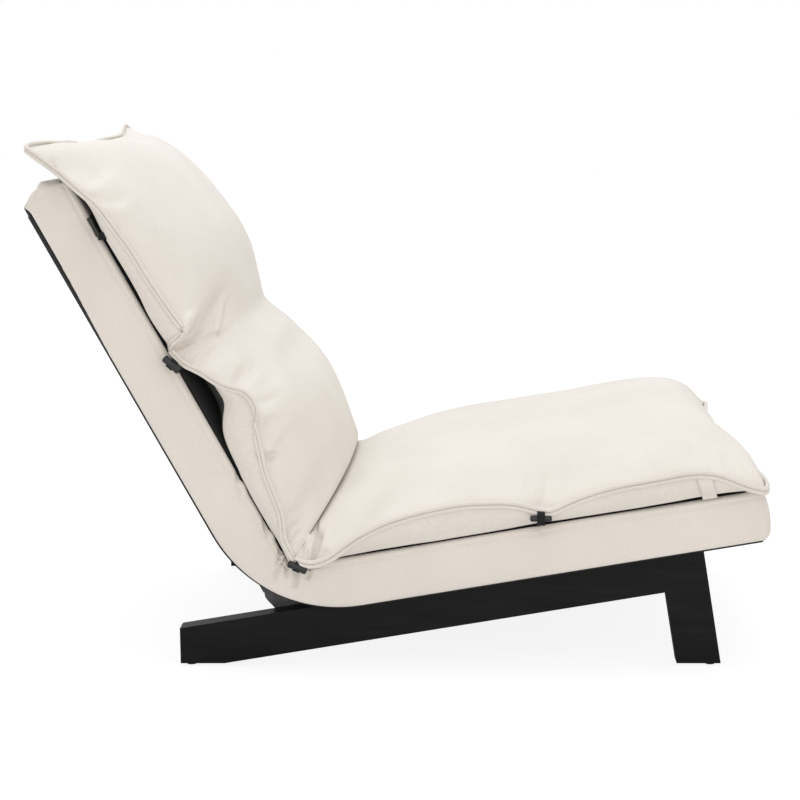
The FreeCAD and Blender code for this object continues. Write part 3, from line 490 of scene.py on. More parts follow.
def foldsOn(spot, *rows, sides=(-1, 1)):
    # each row: width and height in millimetres, then the places along the fold
    return [(sideView(spot, *places), width / 1000, height / 1000, side)
            for width, height, *places in rows for side in sides]


padFolds = foldsOn(
    backSpot,
    (3.2, -3.5, (181, 52), (160, 40), (133, 27)),
    (4, 2.0, (176, 56), (154, 45), (130, 34)),
    (3.2, -5, (106, 53), (92, 46), (78, 40)),
    (4, 2.5, (98, 54), (84, 50), (70, 44))) + foldsOn(
    seatSpot,
    (3.2, -8, (30, 72), (26, 58), (18, 45)),
    (3, 4, (31, 61), (25, 53), (17, 44)),
    (3, -6, (36, 57), (28, 49), (15, 36), (9, 18)),
    (2.8, -5, (34, 50), (31.5, 40), (29, 27)),
    (4, 2.5, (40, 44), (37, 32), (33, 18)),
    (3, -6.5, (46, 38), (41, 20), (36, 10)),
    (3.5, 3, (52, 40), (50, 30), (47, 16)),
    (3, -6, (62, 42), (61, 31), (57, 20)),
    (5, 1.5, (80, 42), (74, 34), (66, 30)),
    (4, -2.5, (384, 43), (388, 36), (390, 30)))

casing = makeCasing()
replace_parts(casing, "seat_casing", "back_casing", "seat_foam", "back_foam",
            "seat_edge_foam", "back_edge_foam")
finer(casing, sideView(seatSpot, (34, 34), (16, 70)), 0.05)
pressFolds(casing, padFolds)
topSheet = makeLid("pad_top_cloth", True)
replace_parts(topSheet, "seat_top_sheet", "back_top_sheet")
dustCover = makeLid("pad_under_cloth", False)
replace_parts(dustCover, "seat_dust_cover", "back_dust_cover")
for piece in (casing, topSheet, dustCover):
    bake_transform(piece)
print("pad made")

# The topper. Each row: crown along, crown height, welt along, welt height, half width, height of the side's lower edge.
# Across and along: the mesh's steps. Base: what it lies on. Pinned: the share that is sewn down at the crease.
# Dome and end dome: power and fullness of the curve across. End rows: how many rows the end takes up. Far ear: how far
# the far corner stands out and up. Corner: out, up, where it starts, its share at the far side, its width.
seatPuff = {
    "name": "seat_puff_cloth", "spot": seatSpot, "across": 100, "along": 100, "base": 43.6, "pinned": 0.105,
    "rows": [
        (36.8, 43.8, 36.8, 43.8, 345, 43.8), (61, 70, 40, 49, 349, 44), (91, 102.5, 43, 53, 353, 44),
        (116, 122.5, 46, 55, 356, 44.2), (127, 124, 50, 52, 357, 44.4), (144, 129.5, 58, 46, 358, 44.2),
        (164, 135.5, 70, 44.4, 358, 44), (186, 140, 88, 47, 358, 44.2), (208, 143, 103, 53, 358, 45),
        (228, 145, 126, 66, 359, 45.5), (250, 146.5, 157, 79, 359, 46), (276, 147.8, 200, 88, 359, 46),
        (304, 148.6, 243, 92, 358, 45), (333, 150, 285, 92, 357, 45), (361, 151.6, 339, 86, 356, 45.4),
        (388, 153.6, 366, 78, 355, 46), (413, 155.1, 385, 68.5, 354, 46.5), (436, 155.7, 398, 62, 353.5, 46.5),
        (459, 155.3, 414, 64, 354, 46), (484, 154.2, 434, 71, 355, 45.6), (511, 153.6, 478, 80, 357, 45.6),
        (540, 153.4, 520, 83, 359, 46), (568, 152.8, 562, 84, 361, 46.8), (594, 151.5, 596, 85, 362, 47.6),
        (618, 149.5, 617, 84, 362.5, 48), (638, 146, 633, 80, 363, 48.5), (653, 140.4, 650, 73, 364, 48.5),
        (665, 131, 669, 60, 364.5, 47.5), (673, 118.7, 683, 53, 365, 46.5), (679, 101, 694, 48.5, 365, 47),
        (681, 76, 700, 46.5, 365, 45.8), (683, 55, 703, 45, 365, 44.8)],
    "dome": (2.3, 0.62), "endDome": (2.6, 0.55), "endRows": 5.5,
    "farEar": (4, 2), "corner": (13, 24, 0.3, 0.3, 0.5), "dip": 0,
}
backPuffs = {
    "name": "back_puffs_cloth", "spot": backSpot, "across": 100, "along": 120, "base": 48.6, "pinned": 0.09,
    "rows": [
        (29.4, 48.9, 29.4, 48.9, 345, 48.9), (46.7, 79.6, 31, 53, 349, 49), (68, 118.8, 35, 58, 353, 49),
        (79.8, 149, 40, 61, 356, 49.5), (88, 162.5, 46, 62, 357, 50), (108, 168.5, 60, 62, 358, 51),
        (127, 172.3, 75, 64, 358, 51), (146, 175.2, 91, 74, 358, 50), (164, 177.4, 102, 77, 358, 50),
        (182, 178.8, 135, 82, 358, 49.6), (199, 180.1, 173, 87, 357, 51), (215.4, 179.4, 180, 94, 356, 52),
        (230, 177.1, 209, 98, 356, 54), (243, 172.9, 226, 110, 355, 56), (255, 167.6, 240, 118, 354, 60),
        (266, 162.6, 254, 121, 354, 68), (277.6, 159.1, 270, 119, 354, 80), (289.7, 157.7, 279, 113, 354, 82),
        (302.4, 156.6, 286, 98, 354, 82), (314.7, 152.8, 305, 87, 354, 81), (327, 147.3, 329, 76, 353, 72),
        (339.4, 142.2, 343, 61, 352, 56), (351.5, 138.6, 359, 57, 351.5, 52), (363, 140.6, 372, 54.5, 351, 50.5),
        (374.7, 144.5, 378, 57, 351, 51), (387.3, 147.7, 379.5, 68, 353, 52), (401.7, 150.9, 380.5, 80, 356, 53),
        (418.7, 155.1, 385, 87, 357, 53), (439, 159.6, 397, 85, 358, 52), (462.5, 163.1, 428, 82, 360, 51),
        (488, 163.8, 464, 79, 362, 54), (515, 160.5, 516, 78, 364, 54), (542.6, 155.9, 550, 74, 366, 54),
        (569, 150.3, 583, 71, 368, 57), (594, 143.8, 604, 64, 369, 55), (617, 136.5, 625, 56, 370, 52),
        (638, 128, 650, 48, 371, 45), (659, 119, 675, 36, 371, 33.5), (675, 103, 688, 29.5, 370.5, 28),
        (685, 78, 695, 26.5, 369.5, 25.2), (687, 45, 699, 24, 368, 23.8)],
    "dome": (2.3, 0.62), "endDome": (2.0, 0.85), "endRows": 5.5,
    "farEar": (14, 9), "corner": (2, 9, 0.6, 0.5, 0.22), "dip": 15,
}
# the lower cloth: shares of the half width where the side wall and the flat middle begin, sizes in millimetres, and the
# share of the length at which it closes to the upper cloth
belly = {"wall": 0.8, "flat": 0.45, "flatWide": 0.55, "tuck": 15, "swell": 2.5, "ripple": 2.8, "padRounds": (622, 78),
         "padFalls": 25, "closes": 0.94}


def evenAlong(puff):
    # even steps along the rows, by the crown line and the welt's
    fine = [k / 600 for k in range(601)]
    run = runAlong([smoothRow(puff["rows"], t) for t in fine],
                   lambda p, q: 0.6 * math.dist(p[:2], q[:2]) + 0.4 * math.dist(p[2:4], q[2:4]))
    return [fine[j] + (fine[j + 1] - fine[j]) * f for j, f in evenPlaces(run, puff["along"])]


def riseAt(puff, u, toEnd):
    # share of the crown's height at u across: a soft dome, of another fullness at the piece's end
    power, fullness = (p + (q - p) * toEnd for p, q in zip(puff["dome"], puff["endDome"]))
    return (1 - abs(u) ** power) ** fullness if abs(u) < 1 else 0.0


def evenAcross(puff):
    # even steps over a dome of usual size (360 wide to a side, 95 high), from one welt to the other
    fine = [math.sin(math.pi / 2 * k / 400) for k in range(401)]
    run = runAlong(fine, lambda p, q: math.hypot(360 * (q - p), 95 * (riseAt(puff, p, 0) - riseAt(puff, q, 0))))
    half = [fine[j] + (fine[j + 1] - fine[j]) * f for j, f in evenPlaces(run, puff["across"] // 2)]
    half[-1] = 1.0
    return [-u for u in reversed(half[1:])] + half


def endShare(puff, t):
    # 0 over most of the length, 1 at the free end
    return ease(1 - (1 - t) * (len(puff["rows"]) - 1) / puff["endRows"])


def farEar(puff, u, t):
    # how far the far corner stands out along the piece and up from it
    share = ease((u - 0.7) / 0.3) * endShare(puff, t)
    return [size * share for size in puff["farEar"]]


def puffTop(puff, u, t):
    # a place on the upper cloth: u from -1 to 1 across, t from 0 to 1 along
    ca, ch, wa, wh, half = smoothRow(puff["rows"], t)[:5]
    toEnd = endShare(puff, t)
    rise = riseAt(puff, u, toEnd)
    out, up, start, farShare, width = puff["corner"]
    corner = ease((abs(u) - start) / width) * toEnd * (1 - abs(u) ** 18) * (farShare if u > 0 else 1.0)
    earOut, earUp = farEar(puff, u, t)
    a = wa + (ca - wa) * rise + earOut + out * corner
    h = wh + (ch - wh) * rise + earUp + up * corner * (1 - ease((t - 0.972) / 0.028))
    h -= puff["dip"] * toEnd * math.exp(-((u + 0.08) / 0.24) ** 2)
    return a, h, half * u


def puffUnder(puff, u, t):
    # the lower cloth: a short side wall under the welt, then a slack panel down to what it lies on, which falls away
    # over the pad's head
    wa, wh, half, edge = smoothRow(puff["rows"], t)[2:]
    base = puff["base"]
    if puff["spot"] is backSpot:
        start, over = belly["padRounds"]
        fall = clamp((wa - start) / over)
        base -= belly["padFalls"] * (1 - math.sqrt(1 - fall * fall))
    r = abs(u)
    if r > belly["wall"]:
        f = (r - belly["wall"]) / (1 - belly["wall"])
        x = half - belly["tuck"] * (1 - f) ** 2 + belly["swell"] * math.sin(math.pi * f)
        up = edge + (wh - edge) * f + belly["ripple"] * (1 - f) * noise.noise(Vector((wa / 38, u * 3, 0)))
    elif r > belly["flat"]:
        f = (r - belly["flat"]) / (belly["wall"] - belly["flat"])
        x = half * belly["flatWide"] + (half * (1 - belly["flatWide"]) - belly["tuck"]) * f
        up = base + (edge - base) * f ** 1.5
    else:
        x, up = half * belly["flatWide"] * r / belly["flat"], base
    earOut, earUp = farEar(puff, u, t)
    a = wa + earOut
    up += earUp
    lastA, lastUp, lastX = puffTop(puff, u, 1.0)
    close = ease((t - belly["closes"]) / (1 - belly["closes"]))
    endA = puff["rows"][-1][2]
    a += (lastA - endA) * close * (1 - ease((r - 0.9) / 0.1))
    up += (lastUp - up) * close ** 2 * (1 - ease((r - 0.85) / 0.15))
    return a, up, math.copysign(x, u)


def makePuff(puff):
    steps, across = evenAlong(puff), evenAcross(puff)
    nu, nv = puff["across"], puff["along"]
    bm = bmesh.new()
    held = bm.verts.layers.float.new("held")
    slack = bm.verts.layers.float.new("slack")
    seam = bm.verts.layers.float.new("seam")
    made = {}
    for under in (False, True):
        for v in bmesh.ops.create_grid(bm, x_segments=nu, y_segments=nv, size=1.0)["verts"]:
            made[v] = (under, round((v.co.x + 1) / 2 * nu), round((v.co.y + 1) / 2 * nv))
    flat = {}
    for v, (under, i, j) in made.items():
        u, t = across[i], steps[j]
        edge = i in (0, nu) or j in (0, nv)
        if under and not edge:
            u = (i / nu) * 2 - 1
        a, h, x = (puffUnder if under and not edge else puffTop)(puff, u, t)
        flat[v] = (x / 1000 + (1.0 if under else 0.0), a / 1000 + h / 1500)
        v[held] = 1.0 if under or edge or t < puff["pinned"] else 0.0
        v[slack] = 0.0 if v[held] else ease(min((1 - abs(u)) / 0.12, (1 - t) / 0.05, (t - puff["pinned"]) / 0.05))
        if edge and j > 0:
            v[seam] = j if i == 0 else nv + i if j == nv else 2 * nv + nu - j
        v.co = puff["spot"](a, h, x)
    clothMap(bm, lambda v: flat[v])
    # the middle of the lower cloth, in the cavity under the puff, is black cloth: painted shade that makes the shadowed
    # cavity between puff and pad read black
    for face in bm.faces:
        paintedShadeUnder = all(made[v][0] and abs(made[v][1] / nu * 2 - 1) < belly["wall"] + 0.001 and made[v][2] < nv * 0.93
                    for v in face.verts)
        face.material_index = 1 if paintedShadeUnder else 0
    bmesh.ops.remove_doubles(bm, verts=bm.verts, dist=0.00001)
    return finished(bm, puff["name"], creamCloth, blackCloth)


def readings(piece, name):
    values = [0.0] * len(piece.data.vertices)
    piece.data.attributes[name].data.foreach_get("value", values)
    return values


# the stuffing's frames and pressure, the cloth's growth, how far a vertex may move, how often the moves are evened out
stuffing = {"frames": 12, "pressure": 1.2, "growth": 0.003, "cap": 0.005, "evened": 4}


def settle(piece):
    # the cloth is cut a little small, and the stuffing presses it out until the seams hold it
    held, cap = readings(piece, "held"), stuffing["cap"]
    outwards = [n.vector * share for n, share in zip(piece.data.vertex_normals, readings(piece, "slack"))]
    for v, out in zip(piece.data.vertices, outwards):
        v.co -= out * cap
    group = piece.vertex_groups.new(name="held")
    group.add([i for i, fixed in enumerate(held) if fixed > 0.5], 1.0, "REPLACE")
    cloth = piece.modifiers.new("filling", "CLOTH")
    s = cloth.settings
    s.quality, s.mass = 5, 0.25
    s.tension_stiffness = s.compression_stiffness = 12
    s.shear_stiffness, s.bending_stiffness = 6, 0.4
    s.vertex_group_mass = "held"
    s.use_pressure, s.uniform_pressure_force = True, stuffing["pressure"]
    s.shrink_min = -stuffing["growth"]
    s.effector_weights.gravity = 0
    cloth.point_cache.frame_start, cloth.point_cache.frame_end = 1, stuffing["frames"]
    bpy.context.view_layer.objects.active = piece
    for k in range(1, stuffing["frames"] + 1):
        bpy.context.scene.frame_set(k)
    shaped = piece.evaluated_get(bpy.context.evaluated_depsgraph_get()).data
    moves = [p.co - v.co for p, v in zip(shaped.vertices, piece.data.vertices)]
    piece.modifiers.remove(cloth)
    moves = [move * min(1.0, cap / max(move.length, 1e-9)) for move in moves]
    around = [[i] for i in range(len(moves))]
    for edge in piece.data.edges:
        p, q = edge.vertices
        around[p].append(q)
        around[q].append(p)
    for k in range(stuffing["evened"]):
        moves = [sum((moves[i] for i in near), Vector()) / len(near) for near in around]
    for v, move, fixed in zip(piece.data.vertices, moves, held):
        v.co += move * (1 - fixed)
    bpy.context.scene.frame_set(1)


backFolds = foldsOn(
    backSpot,
    (3.4, -7, (374, 52), (369, 70), (367, 86), (372, 97), (386, 112), (400, 129), (408, 138)),
    (2.6, 5, (358, 106), (366, 111), (378, 118), (404, 138)),
    (3.2, -5, (354, 112), (361, 115), (381, 126), (392, 134)),
    (2.6, -4.5, (350, 112), (355, 122), (361, 140), (370, 159)),
    (4, -4, (361, 88), (357, 104), (354, 120)),
    (6, 4, (383, 82), (392, 92), (404, 106)),
    (5, 3, (352, 62), (350, 84), (345, 104)),
    (5, -2.5, (341, 66), (337, 84), (331, 98)),
    (3, -4.5, (190, 88), (180, 98), (169, 110)),
    (3, 2.5, (194, 92), (186, 104), (174, 116)),
    (4.5, -4.5, (70, 60), (76, 78), (78, 94)),
    (4, -4.5, (60, 62), (62, 76), (66, 90)),
    (6, -2.5, (84, 66), (92, 82), (100, 92)),
    (14, -7, (668, 40), (640, 74), (612, 92)),
    (9, -4, (604, 66), (588, 84), (574, 104))) + foldsOn(
    backSpot, (13, -11, (300, 108), (283, 124), (264, 134), (244, 134), (228, 124)), sides=(-1,))
seatFolds = foldsOn(
    seatSpot,
    (3.2, -9, (76, 88), (83, 73), (79, 64), (73, 53), (70, 44)),
    (4, 6, (66, 84), (69, 74), (68, 63), (67, 52)),
    (3, -5, (58, 70), (60, 60), (58, 50)),
    (6, 3, (92, 82), (90, 70), (84, 58)),
    (4, -3, (92, 60), (86, 54), (80, 46)),
    (12, -5, (398, 66), (380, 92), (350, 108), (316, 116)),
    (12, -5, (398, 66), (412, 96), (440, 118)),
    (12, -3, (500, 92), (530, 104), (556, 122)),
    (11, -3, (640, 84), (628, 100), (604, 112)),
    (9, -3, (676, 60), (664, 78), (652, 98)))


def seamPlaces(piece):
    # the places along the seam, from the crease on one side round the end to the crease on the other
    order = readings(piece, "seam")
    rank = sorted((place, i) for i, place in enumerate(order) if place > 0.5)
    return [piece.data.vertices[i].co.copy() for place, i in rank]


seams, puffs = {}, []
for puff, body, stood, folds, small in (
        (seatPuff, "chair", ["seat_puff"], seatFolds, sideView(seatSpot, (74, 66))),
        (backPuffs, "back", ["lumbar_puff", "head_puff"], backFolds, sideView(backSpot, (374, 88), (374, 130)))):
    piece = makePuff(puff)
    settle(piece)
    seams[puff["name"]] = seamPlaces(piece)
    plump = piece.modifiers.new("smooth", "SUBSURF")
    plump.levels = plump.render_levels = 1
    fine = bpy.data.meshes.new_from_object(piece.evaluated_get(bpy.context.evaluated_depsgraph_get()))
    piece.modifiers.clear()
    piece.data = fine
    finer(piece, small, 0.045)
    pressFolds(piece, folds)
    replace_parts(piece, *stood)
    puffs.append(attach(piece, body))
    print(puff["name"], "made")

# the doubled welt round each puff: two rolled edges with a stitched groove between them, sizes in millimetres
seatWelt = {"roll": 3.2, "apart": 3.0, "out": 2.8, "wander": 0.7, "from": 6}
backWelt = {"roll": 2.6, "apart": 2.4, "out": 3.0, "wander": 0.6, "from": 6}


def weltPath(puff, welt):
    # steps of 6 mm along the smoothed seam, a little outside it
    line = seams[puff["name"]][welt["from"]:-welt["from"]]
    for k in range(5):
        line = [line[0]] + [(p + q * 2 + r) / 4 for p, q, r in zip(line, line[1:], line[2:])] + [line[-1]]
    run = runAlong(line, lambda p, q: (q - p).length)
    endWay = (puff["spot"](1, 0) - puff["spot"](0, 0)).normalized()
    places = []
    for j, f in evenPlaces(run, round(run[-1] / 0.006)):
        spot = line[j].lerp(line[j + 1], f)
        side = math.copysign(ease((abs(spot.x) - 0.3) / 0.05), spot.x)
        end = 1 - ease((abs(spot.x) - 0.34) / 0.03)
        wander = noise.noise(spot * 26) * welt["wander"] / 1000
        places.append(spot + Vector((side, 0, 0)) * welt["out"] / 1000 + endWay * end * welt["out"] / 1000
                      + Vector((0, 0, wander)))
    return places


def makeWelt(name, places, welt, body):
    shape = bpy.data.curves.new(name + "_shape", "CURVE")
    for sign in (-1, 1):
        ring = shape.splines.new("BEZIER")
        ring.bezier_points.add(3)
        for k, point in enumerate(ring.bezier_points):
            angle = math.pi / 2 * k
            point.co = (welt["roll"] / 1000 * math.cos(angle),
                        (sign * welt["apart"] + welt["roll"] * math.sin(angle)) / 1000, 0)
            point.handle_left_type = point.handle_right_type = "AUTO"
        ring.use_cyclic_u = True
        ring.resolution_u = 2
    profile = linked(bpy.data.objects.new(name + "_shape", shape))
    run = bpy.data.curves.new(name + "_run", "CURVE")
    run.dimensions = "3D"
    run.twist_mode = "Z_UP"
    line = run.splines.new("POLY")
    line.points.add(len(places) - 1)
    for point, place in zip(line.points, places):
        point.co = (*place, 1)
    run.bevel_mode = "OBJECT"
    run.bevel_object = profile
    run.use_fill_caps = True
    rope = linked(bpy.data.objects.new(name + "_run", run))
    bpy.context.view_layer.update()
    mesh = bpy.data.meshes.new_from_object(rope.evaluated_get(bpy.context.evaluated_depsgraph_get()))
    for used in (rope, profile):
        bpy.data.objects.remove(used)
    bm = bmesh.new()
    bm.from_mesh(mesh)
    bpy.data.meshes.remove(mesh)
    bmesh.ops.remove_doubles(bm, verts=bm.verts, dist=0.000001)
    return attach(finished(bm, name, creamCloth), body)


makeWelt("seat_welt", weltPath(seatPuff, seatWelt), seatWelt, "chair")
makeWelt("back_welt", weltPath(backPuffs, backWelt), backWelt, "back")
print("topper made")

# Black moulded toggles in elastic loops. Each spot: place along, height and X of the bar's middle, how far it tips
# forward, how stout it is, and the loop's size. A loop under the freed size hangs beside its bar, shifted and turned.
toggle = {"bar": (7.6, 30.0, 8.4), "edge": 3.0, "waist": 0.82, "loop": (7.6, 10.2), "loopWide": 10.5, "loopThick": 1.7,
          "freed": 0.7, "hang": (16, 4, 20), "inset": 2.5}
toggleSpots = {
    "seat": (seatSpot, ((48.5, 44.5, -360.5, 24, 1.25, 0.72), (49.4, 44.0, 359.0, 6, 1.1, 0.85),
                        (391.6, 57.0, -359.5, 0, 1.0, 1.0), (391.6, 57.0, 359.5, -4, 1.0, 1.0))),
    "back": (backSpot, ((354.0, 49.0, -360.5, 43, 1.25, 0.72), (352.0, 50.5, 358.5, 58, 1.1, 0.85),
                        (566.0, 49.0, -356.0, 63, 0.8, 0.62), (568.9, 53.0, 357.5, 60, 1.0, 1.0))),
}


def tipped(spot, tip):
    # from a toggle's own axes (out, along the bar, up) to the chair, the bar tipped forward and down by tip degrees
    c, k = math.cos(math.radians(tip)), math.sin(math.radians(tip))
    turn = Matrix(((1, 0, 0), (0, -c, k), (0, -k, -c))).to_4x4()
    return Matrix.Translation(spot) @ turn


def joinInto(bm, part, place):
    bmesh.ops.transform(part, matrix=place, verts=part.verts)
    mesh = bpy.data.meshes.new("part")
    part.to_mesh(mesh)
    part.free()
    bm.from_mesh(mesh)
    bpy.data.meshes.remove(mesh)


def toggleBar():
    bm = bmesh.new()
    verts = bmesh.ops.create_cube(bm, size=1.0)["verts"]
    bmesh.ops.scale(bm, vec=[v / 1000 for v in toggle["bar"]], verts=verts)
    bmesh.ops.bevel(bm, geom=bm.edges[:], offset=toggle["edge"] / 1000, segments=4, profile=0.5, affect="EDGES",
                    material=-1)
    bmesh.ops.subdivide_edges(bm, edges=[e for e in bm.edges if abs(e.verts[0].co.y - e.verts[1].co.y) > 0.01], cuts=7)
    for v in bm.verts:
        slim = 1 - (1 - toggle["waist"]) * math.exp(-(v.co.y / 0.0065) ** 2)
        v.co.x *= slim
        v.co.z *= slim
    return bm


def toggleLoop():
    # an elastic band round the waist of the bar
    bm = bmesh.new()
    bmesh.ops.create_circle(bm, segments=32, radius=1.0)
    for v in bm.verts:
        turn = math.atan2(v.co.y, v.co.x)
        x, z = (math.copysign(abs(w) ** 0.7, w) * size
                for w, size in zip((math.cos(turn), math.sin(turn)), toggle["loop"]))
        v.co = Vector((x, -toggle["loopWide"] / 2, z)) / 1000
    for k in range(4):
        last = [e for e in bm.edges if abs(e.verts[0].co.y - e.verts[1].co.y) < 1e-6
                and e.verts[0].co.y > toggle["loopWide"] * (k / 4 - 0.51) / 1000]
        grown = bmesh.ops.extrude_edge_only(bm, edges=last)["geom"]
        bmesh.ops.translate(bm, vec=(0, toggle["loopWide"] / 4000, 0),
                            verts=[g for g in grown if isinstance(g, bmesh.types.BMVert)])
    bmesh.ops.recalc_face_normals(bm, faces=bm.faces)
    bmesh.ops.solidify(bm, geom=bm.faces[:], thickness=toggle["loopThick"] / 1000)
    return bm


for part, body in (("seat", "chair"), ("back", "back")):
    spot, places = toggleSpots[part]
    bars, loops = bmesh.new(), bmesh.new()
    for a, h, x, tip, stout, loopSize in places:
        place = tipped(spot(a, h, x), tip)
        joinInto(bars, toggleBar(), place @ Matrix.Diagonal((stout, 0.95 if stout != 1 else 1.0, stout, 1)))
        lower, higher, turned = toggle["hang"] if loopSize < toggle["freed"] else (0, 0, 0)
        place = tipped(spot(a - lower, h + higher, x + math.copysign(toggle["inset"], -x)), tip + turned)
        joinInto(loops, toggleLoop(), place @ Matrix.Diagonal((loopSize, 1, loopSize, 1)))
    barPiece = finished(bars, part + "_toggle_bars", mouldedBlack)
    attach(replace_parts(barPiece, part + "_toggles"), body)
    loopPiece = finished(loops, part + "_toggle_loops", loopElastic)
    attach(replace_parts(loopPiece, part + "_loops"), body)
print("toggles made")

# Cream tabs at the front corners, sewn to the welt above and to the pad below: near edge, far edge and height at the
# top and at the foot. They follow the puff's side wall.
tab = {"top": (610.5, 632.0, 80.0), "foot": (616.5, 637.0, 43.5), "slant": 4, "wallFrom": 47.5, "wallHigh": 35,
       "side": 362.5, "proud": 2.2, "sunk": 1.5, "thick": 1.3}


def makeTabs():
    bm = bmesh.new()
    for side in (-1, 1):
        for v in bmesh.ops.create_grid(bm, x_segments=6, y_segments=16, size=1.0)["verts"]:
            across, down = (v.co.x + 1) / 2, (1 - v.co.y) / 2
            near = tab["top"][0] + (tab["top"][1] - tab["top"][0]) * across
            far = tab["foot"][0] + (tab["foot"][1] - tab["foot"][0]) * across
            high = tab["top"][2] - tab["slant"] * across
            n = high + (tab["foot"][2] - high) * down
            f = clamp((n - tab["wallFrom"]) / tab["wallHigh"])
            wall = tab["side"] - belly["tuck"] * (1 - f) ** 2 + belly["swell"] * math.sin(math.pi * f)
            x = wall + tab["proud"] * math.sin(math.pi * min(1, 0.25 + down * 0.8)) \
                - tab["sunk"] * ease((down - 0.85) / 0.15)
            v.co = seatSpot(near + (far - near) * down, n, side * x)
    clothMap(bm, lambda v: v.co.yz)
    piece = thicken(finished(bm, "front_tabs", creamCloth), tab["thick"] / 1000)
    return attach(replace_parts(piece, "seat_tabs"), "chair")


makeTabs()

# The topper's cloth crosses the crease: a strip, folded at rest, that lies flat between the puffs when the back is
# down. Height over the pin when flat, half the angle it spans (radians), half width when folded; lengths in mm.
crossing = {"height": 61.5, "spread": 0.63, "half": 3.5, "across": 347, "rows": 26, "ripple": 0.8, "sheet": 0.0012}


def makeCrossing():
    bm = bmesh.new()
    bmesh.ops.create_grid(bm, x_segments=60, y_segments=crossing["rows"], size=1.0)
    flat = {}
    for v in bm.verts:
        x, step = v.co.x * crossing["across"], v.co.y
        flat[v] = (x / 1000, step * 0.035)
        lift = crossing["height"] / math.cos(crossing["spread"] * step)
        lift += crossing["ripple"] * noise.noise(Vector((x / 18, step * 3, 0)))
        v.co = pinSpot + (mitreUp * lift + mitreAcross * step * crossing["half"] + Vector((x, 0, 0))) / 1000
    clothMap(bm, lambda v: flat[v])
    piece = thicken(finished(bm, "crease_cloth", creamCloth), crossing["sheet"])
    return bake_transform(piece)


makeCrossing()

# gathers over the lower end of the crease at each side: distance from the pin and across it, at the top and the foot
gather = {"top": (109.0, 3.0), "foot": (71.0, 13.0), "wide": (7.0, 15.0), "proud": 3.5, "ridge": 1.7, "sink": 1.5}


def makeGathers():
    shapes = [BVHTree.FromPolygons([v.co for v in puff.data.vertices], [f.vertices for f in puff.data.polygons])
              for puff in puffs]

    def surface(side, out, across):
        # a place on the side of the puffs, and how far out their surface is there
        spot = pinSpot + mitreUp * out / 1000 - mitreAcross * across / 1000 + Vector((side * 0.5, 0, 0))
        hits = [shape.ray_cast(spot, Vector((-side, 0, 0)))[0] for shape in shapes]
        return spot, max([hit.x * side for hit in hits if hit] or [0.34])

    bm = bmesh.new()
    flat = {}
    for side in (-1, 1):
        for v in bmesh.ops.create_grid(bm, x_segments=30, y_segments=30, size=1.0)["verts"]:
            u, down = v.co.x, (1 - v.co.y) / 2
            out, middle, half = (p + (q - p) * down for p, q in (*zip(gather["top"], gather["foot"]), gather["wide"]))
            spot, own = surface(side, out, middle + u * half)
            over = max(surface(side, out, middle + u * half + k)[1] for k in (-9, -5, 5, 9))
            edge = max(abs(u), abs(2 * down - 1)) ** 5
            ridge = math.cos(8.5 * u + 1.6 * math.sin(3.2 * down) + side) * gather["ridge"]
            x = (max(own, 0.6 * over + 0.4 * own) + (gather["proud"] + ridge) * (1 - edge) / 1000) * (1 - edge) \
                + (own - gather["sink"] / 1000) * edge
            v.co = Vector((side * x, spot.y, spot.z))
            flat[v] = (v.co.y, v.co.z)
    clothMap(bm, lambda v: flat[v])
    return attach(finished(bm, "crease_gathers", creamCloth), "chair")


makeGathers()
print("tabs, crease cloth and gathers made")

# camera, lights and floor
view = {"place": (-2.93, -0.0984, 0.804), "pitch": 9.07, "lens": 85.95, "shift": -0.094}
lens = bpy.data.cameras.new("camera")
lens.lens = view["lens"]
lens.sensor_width = 36
lens.shift_x = view["shift"]
camera = linked(bpy.data.objects.new("camera", lens))
camera.location = view["place"]
camera.rotation_euler = (math.radians(90 - view["pitch"]), 0, math.radians(-90))
bpy.context.scene.camera = camera

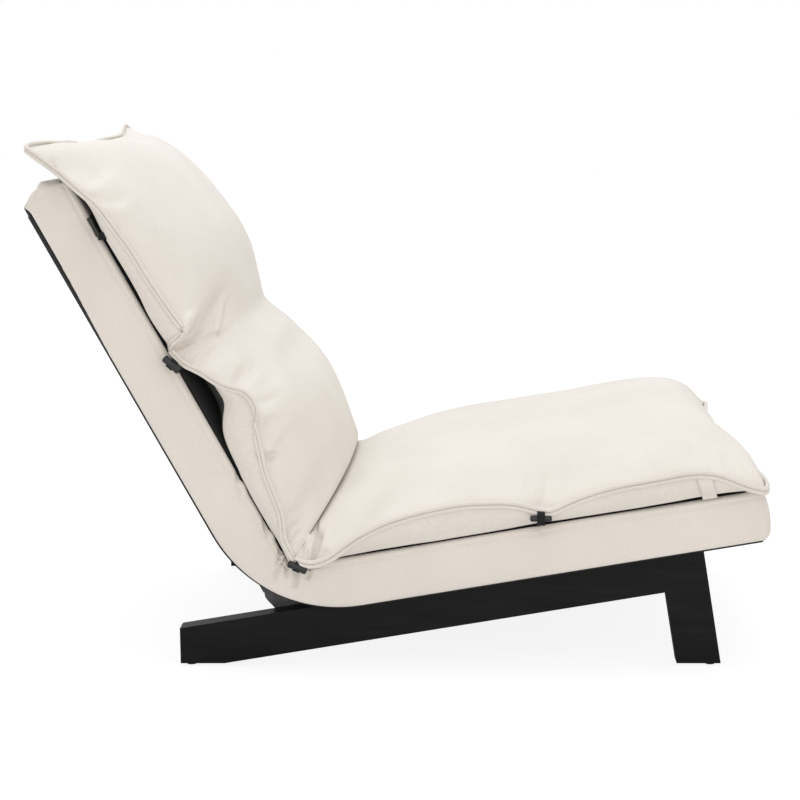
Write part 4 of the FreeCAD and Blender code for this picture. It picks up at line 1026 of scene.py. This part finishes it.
world = bpy.data.worlds.new("studio")
bpy.context.scene.world = world
world.use_nodes = True
sky = world.node_tree
sky.nodes.clear()
seen = node(sky, "LightPath").outputs
seenAny = node(sky, "Math", {0: seen["Is Camera Ray"], 1: seen["Is Glossy Ray"]}, operation="MAXIMUM")
seenMore = node(sky, "Math", {0: seenAny.outputs[0], 1: seen["Is Transmission Ray"]}, operation="MAXIMUM")
fill = node(sky, "Background", {"Color": (1, 0.97, 0.945, 1), "Strength": 0.81})
back = node(sky, "Background", {"Color": (1, 1, 1, 1), "Strength": 1.0})
chosen = node(sky, "MixShader", {"Fac": seenMore.outputs[0], 1: fill.outputs[0], 2: back.outputs[0]})
node(sky, "OutputWorld", {"Surface": chosen.outputs[0]})


def softLamp(name, place, target, size, watts, colour):
    light = bpy.data.lights.new(name, "AREA")
    light.color = colour
    light.shape = "SQUARE"
    light.size = size
    light.energy = watts
    lamp = linked(bpy.data.objects.new(name, light))
    lamp.location = place
    lamp.rotation_euler = (Vector(target) - Vector(place)).to_track_quat("-Z", "Y").to_euler()


softLamp("lampTop", (0.3, 0.3, 3.2), (0, -0.05, 0.2), 2.6, 45, (0.84, 0.93, 1.0))
softLamp("lampSide", (-3.2, -0.4, 0.5), (0, -0.05, 0.3), 2.0, 19, (1.0, 0.95, 0.90))

bm = bmesh.new()
bmesh.ops.create_grid(bm, x_segments=2, y_segments=2, size=14.0)
floorMat, floorTree, floorShader = newMaterial("paleFloor")
setInputs(floorTree, floorShader, {"Base Color": (0.86, 0.86, 0.86, 1), "Roughness": 0.9, "Specular IOR Level": 0.1})
floorPath = node(floorTree, "LightPath")
floorSeen = node(floorTree, "BsdfDiffuse", {"Color": (0.22, 0.22, 0.22, 1)})
floorGlow = node(floorTree, "Emission", {"Color": (1, 1, 1, 1), "Strength": 0.87})
floorPale = node(floorTree, "AddShader", {0: floorSeen.outputs[0], 1: floorGlow.outputs[0]})
floorChosen = node(floorTree, "MixShader", {"Fac": floorPath.outputs["Is Camera Ray"], 1: floorShader.outputs[0],
                                            2: floorPale.outputs[0]})
setInputs(floorTree, floorTree.nodes["Material Output"], {"Surface": floorChosen.outputs[0]})
floor = finished(bm, "studio_floor", floorMat)
bpy.context.scene.view_settings.view_transform = "Standard"
print("studio made")
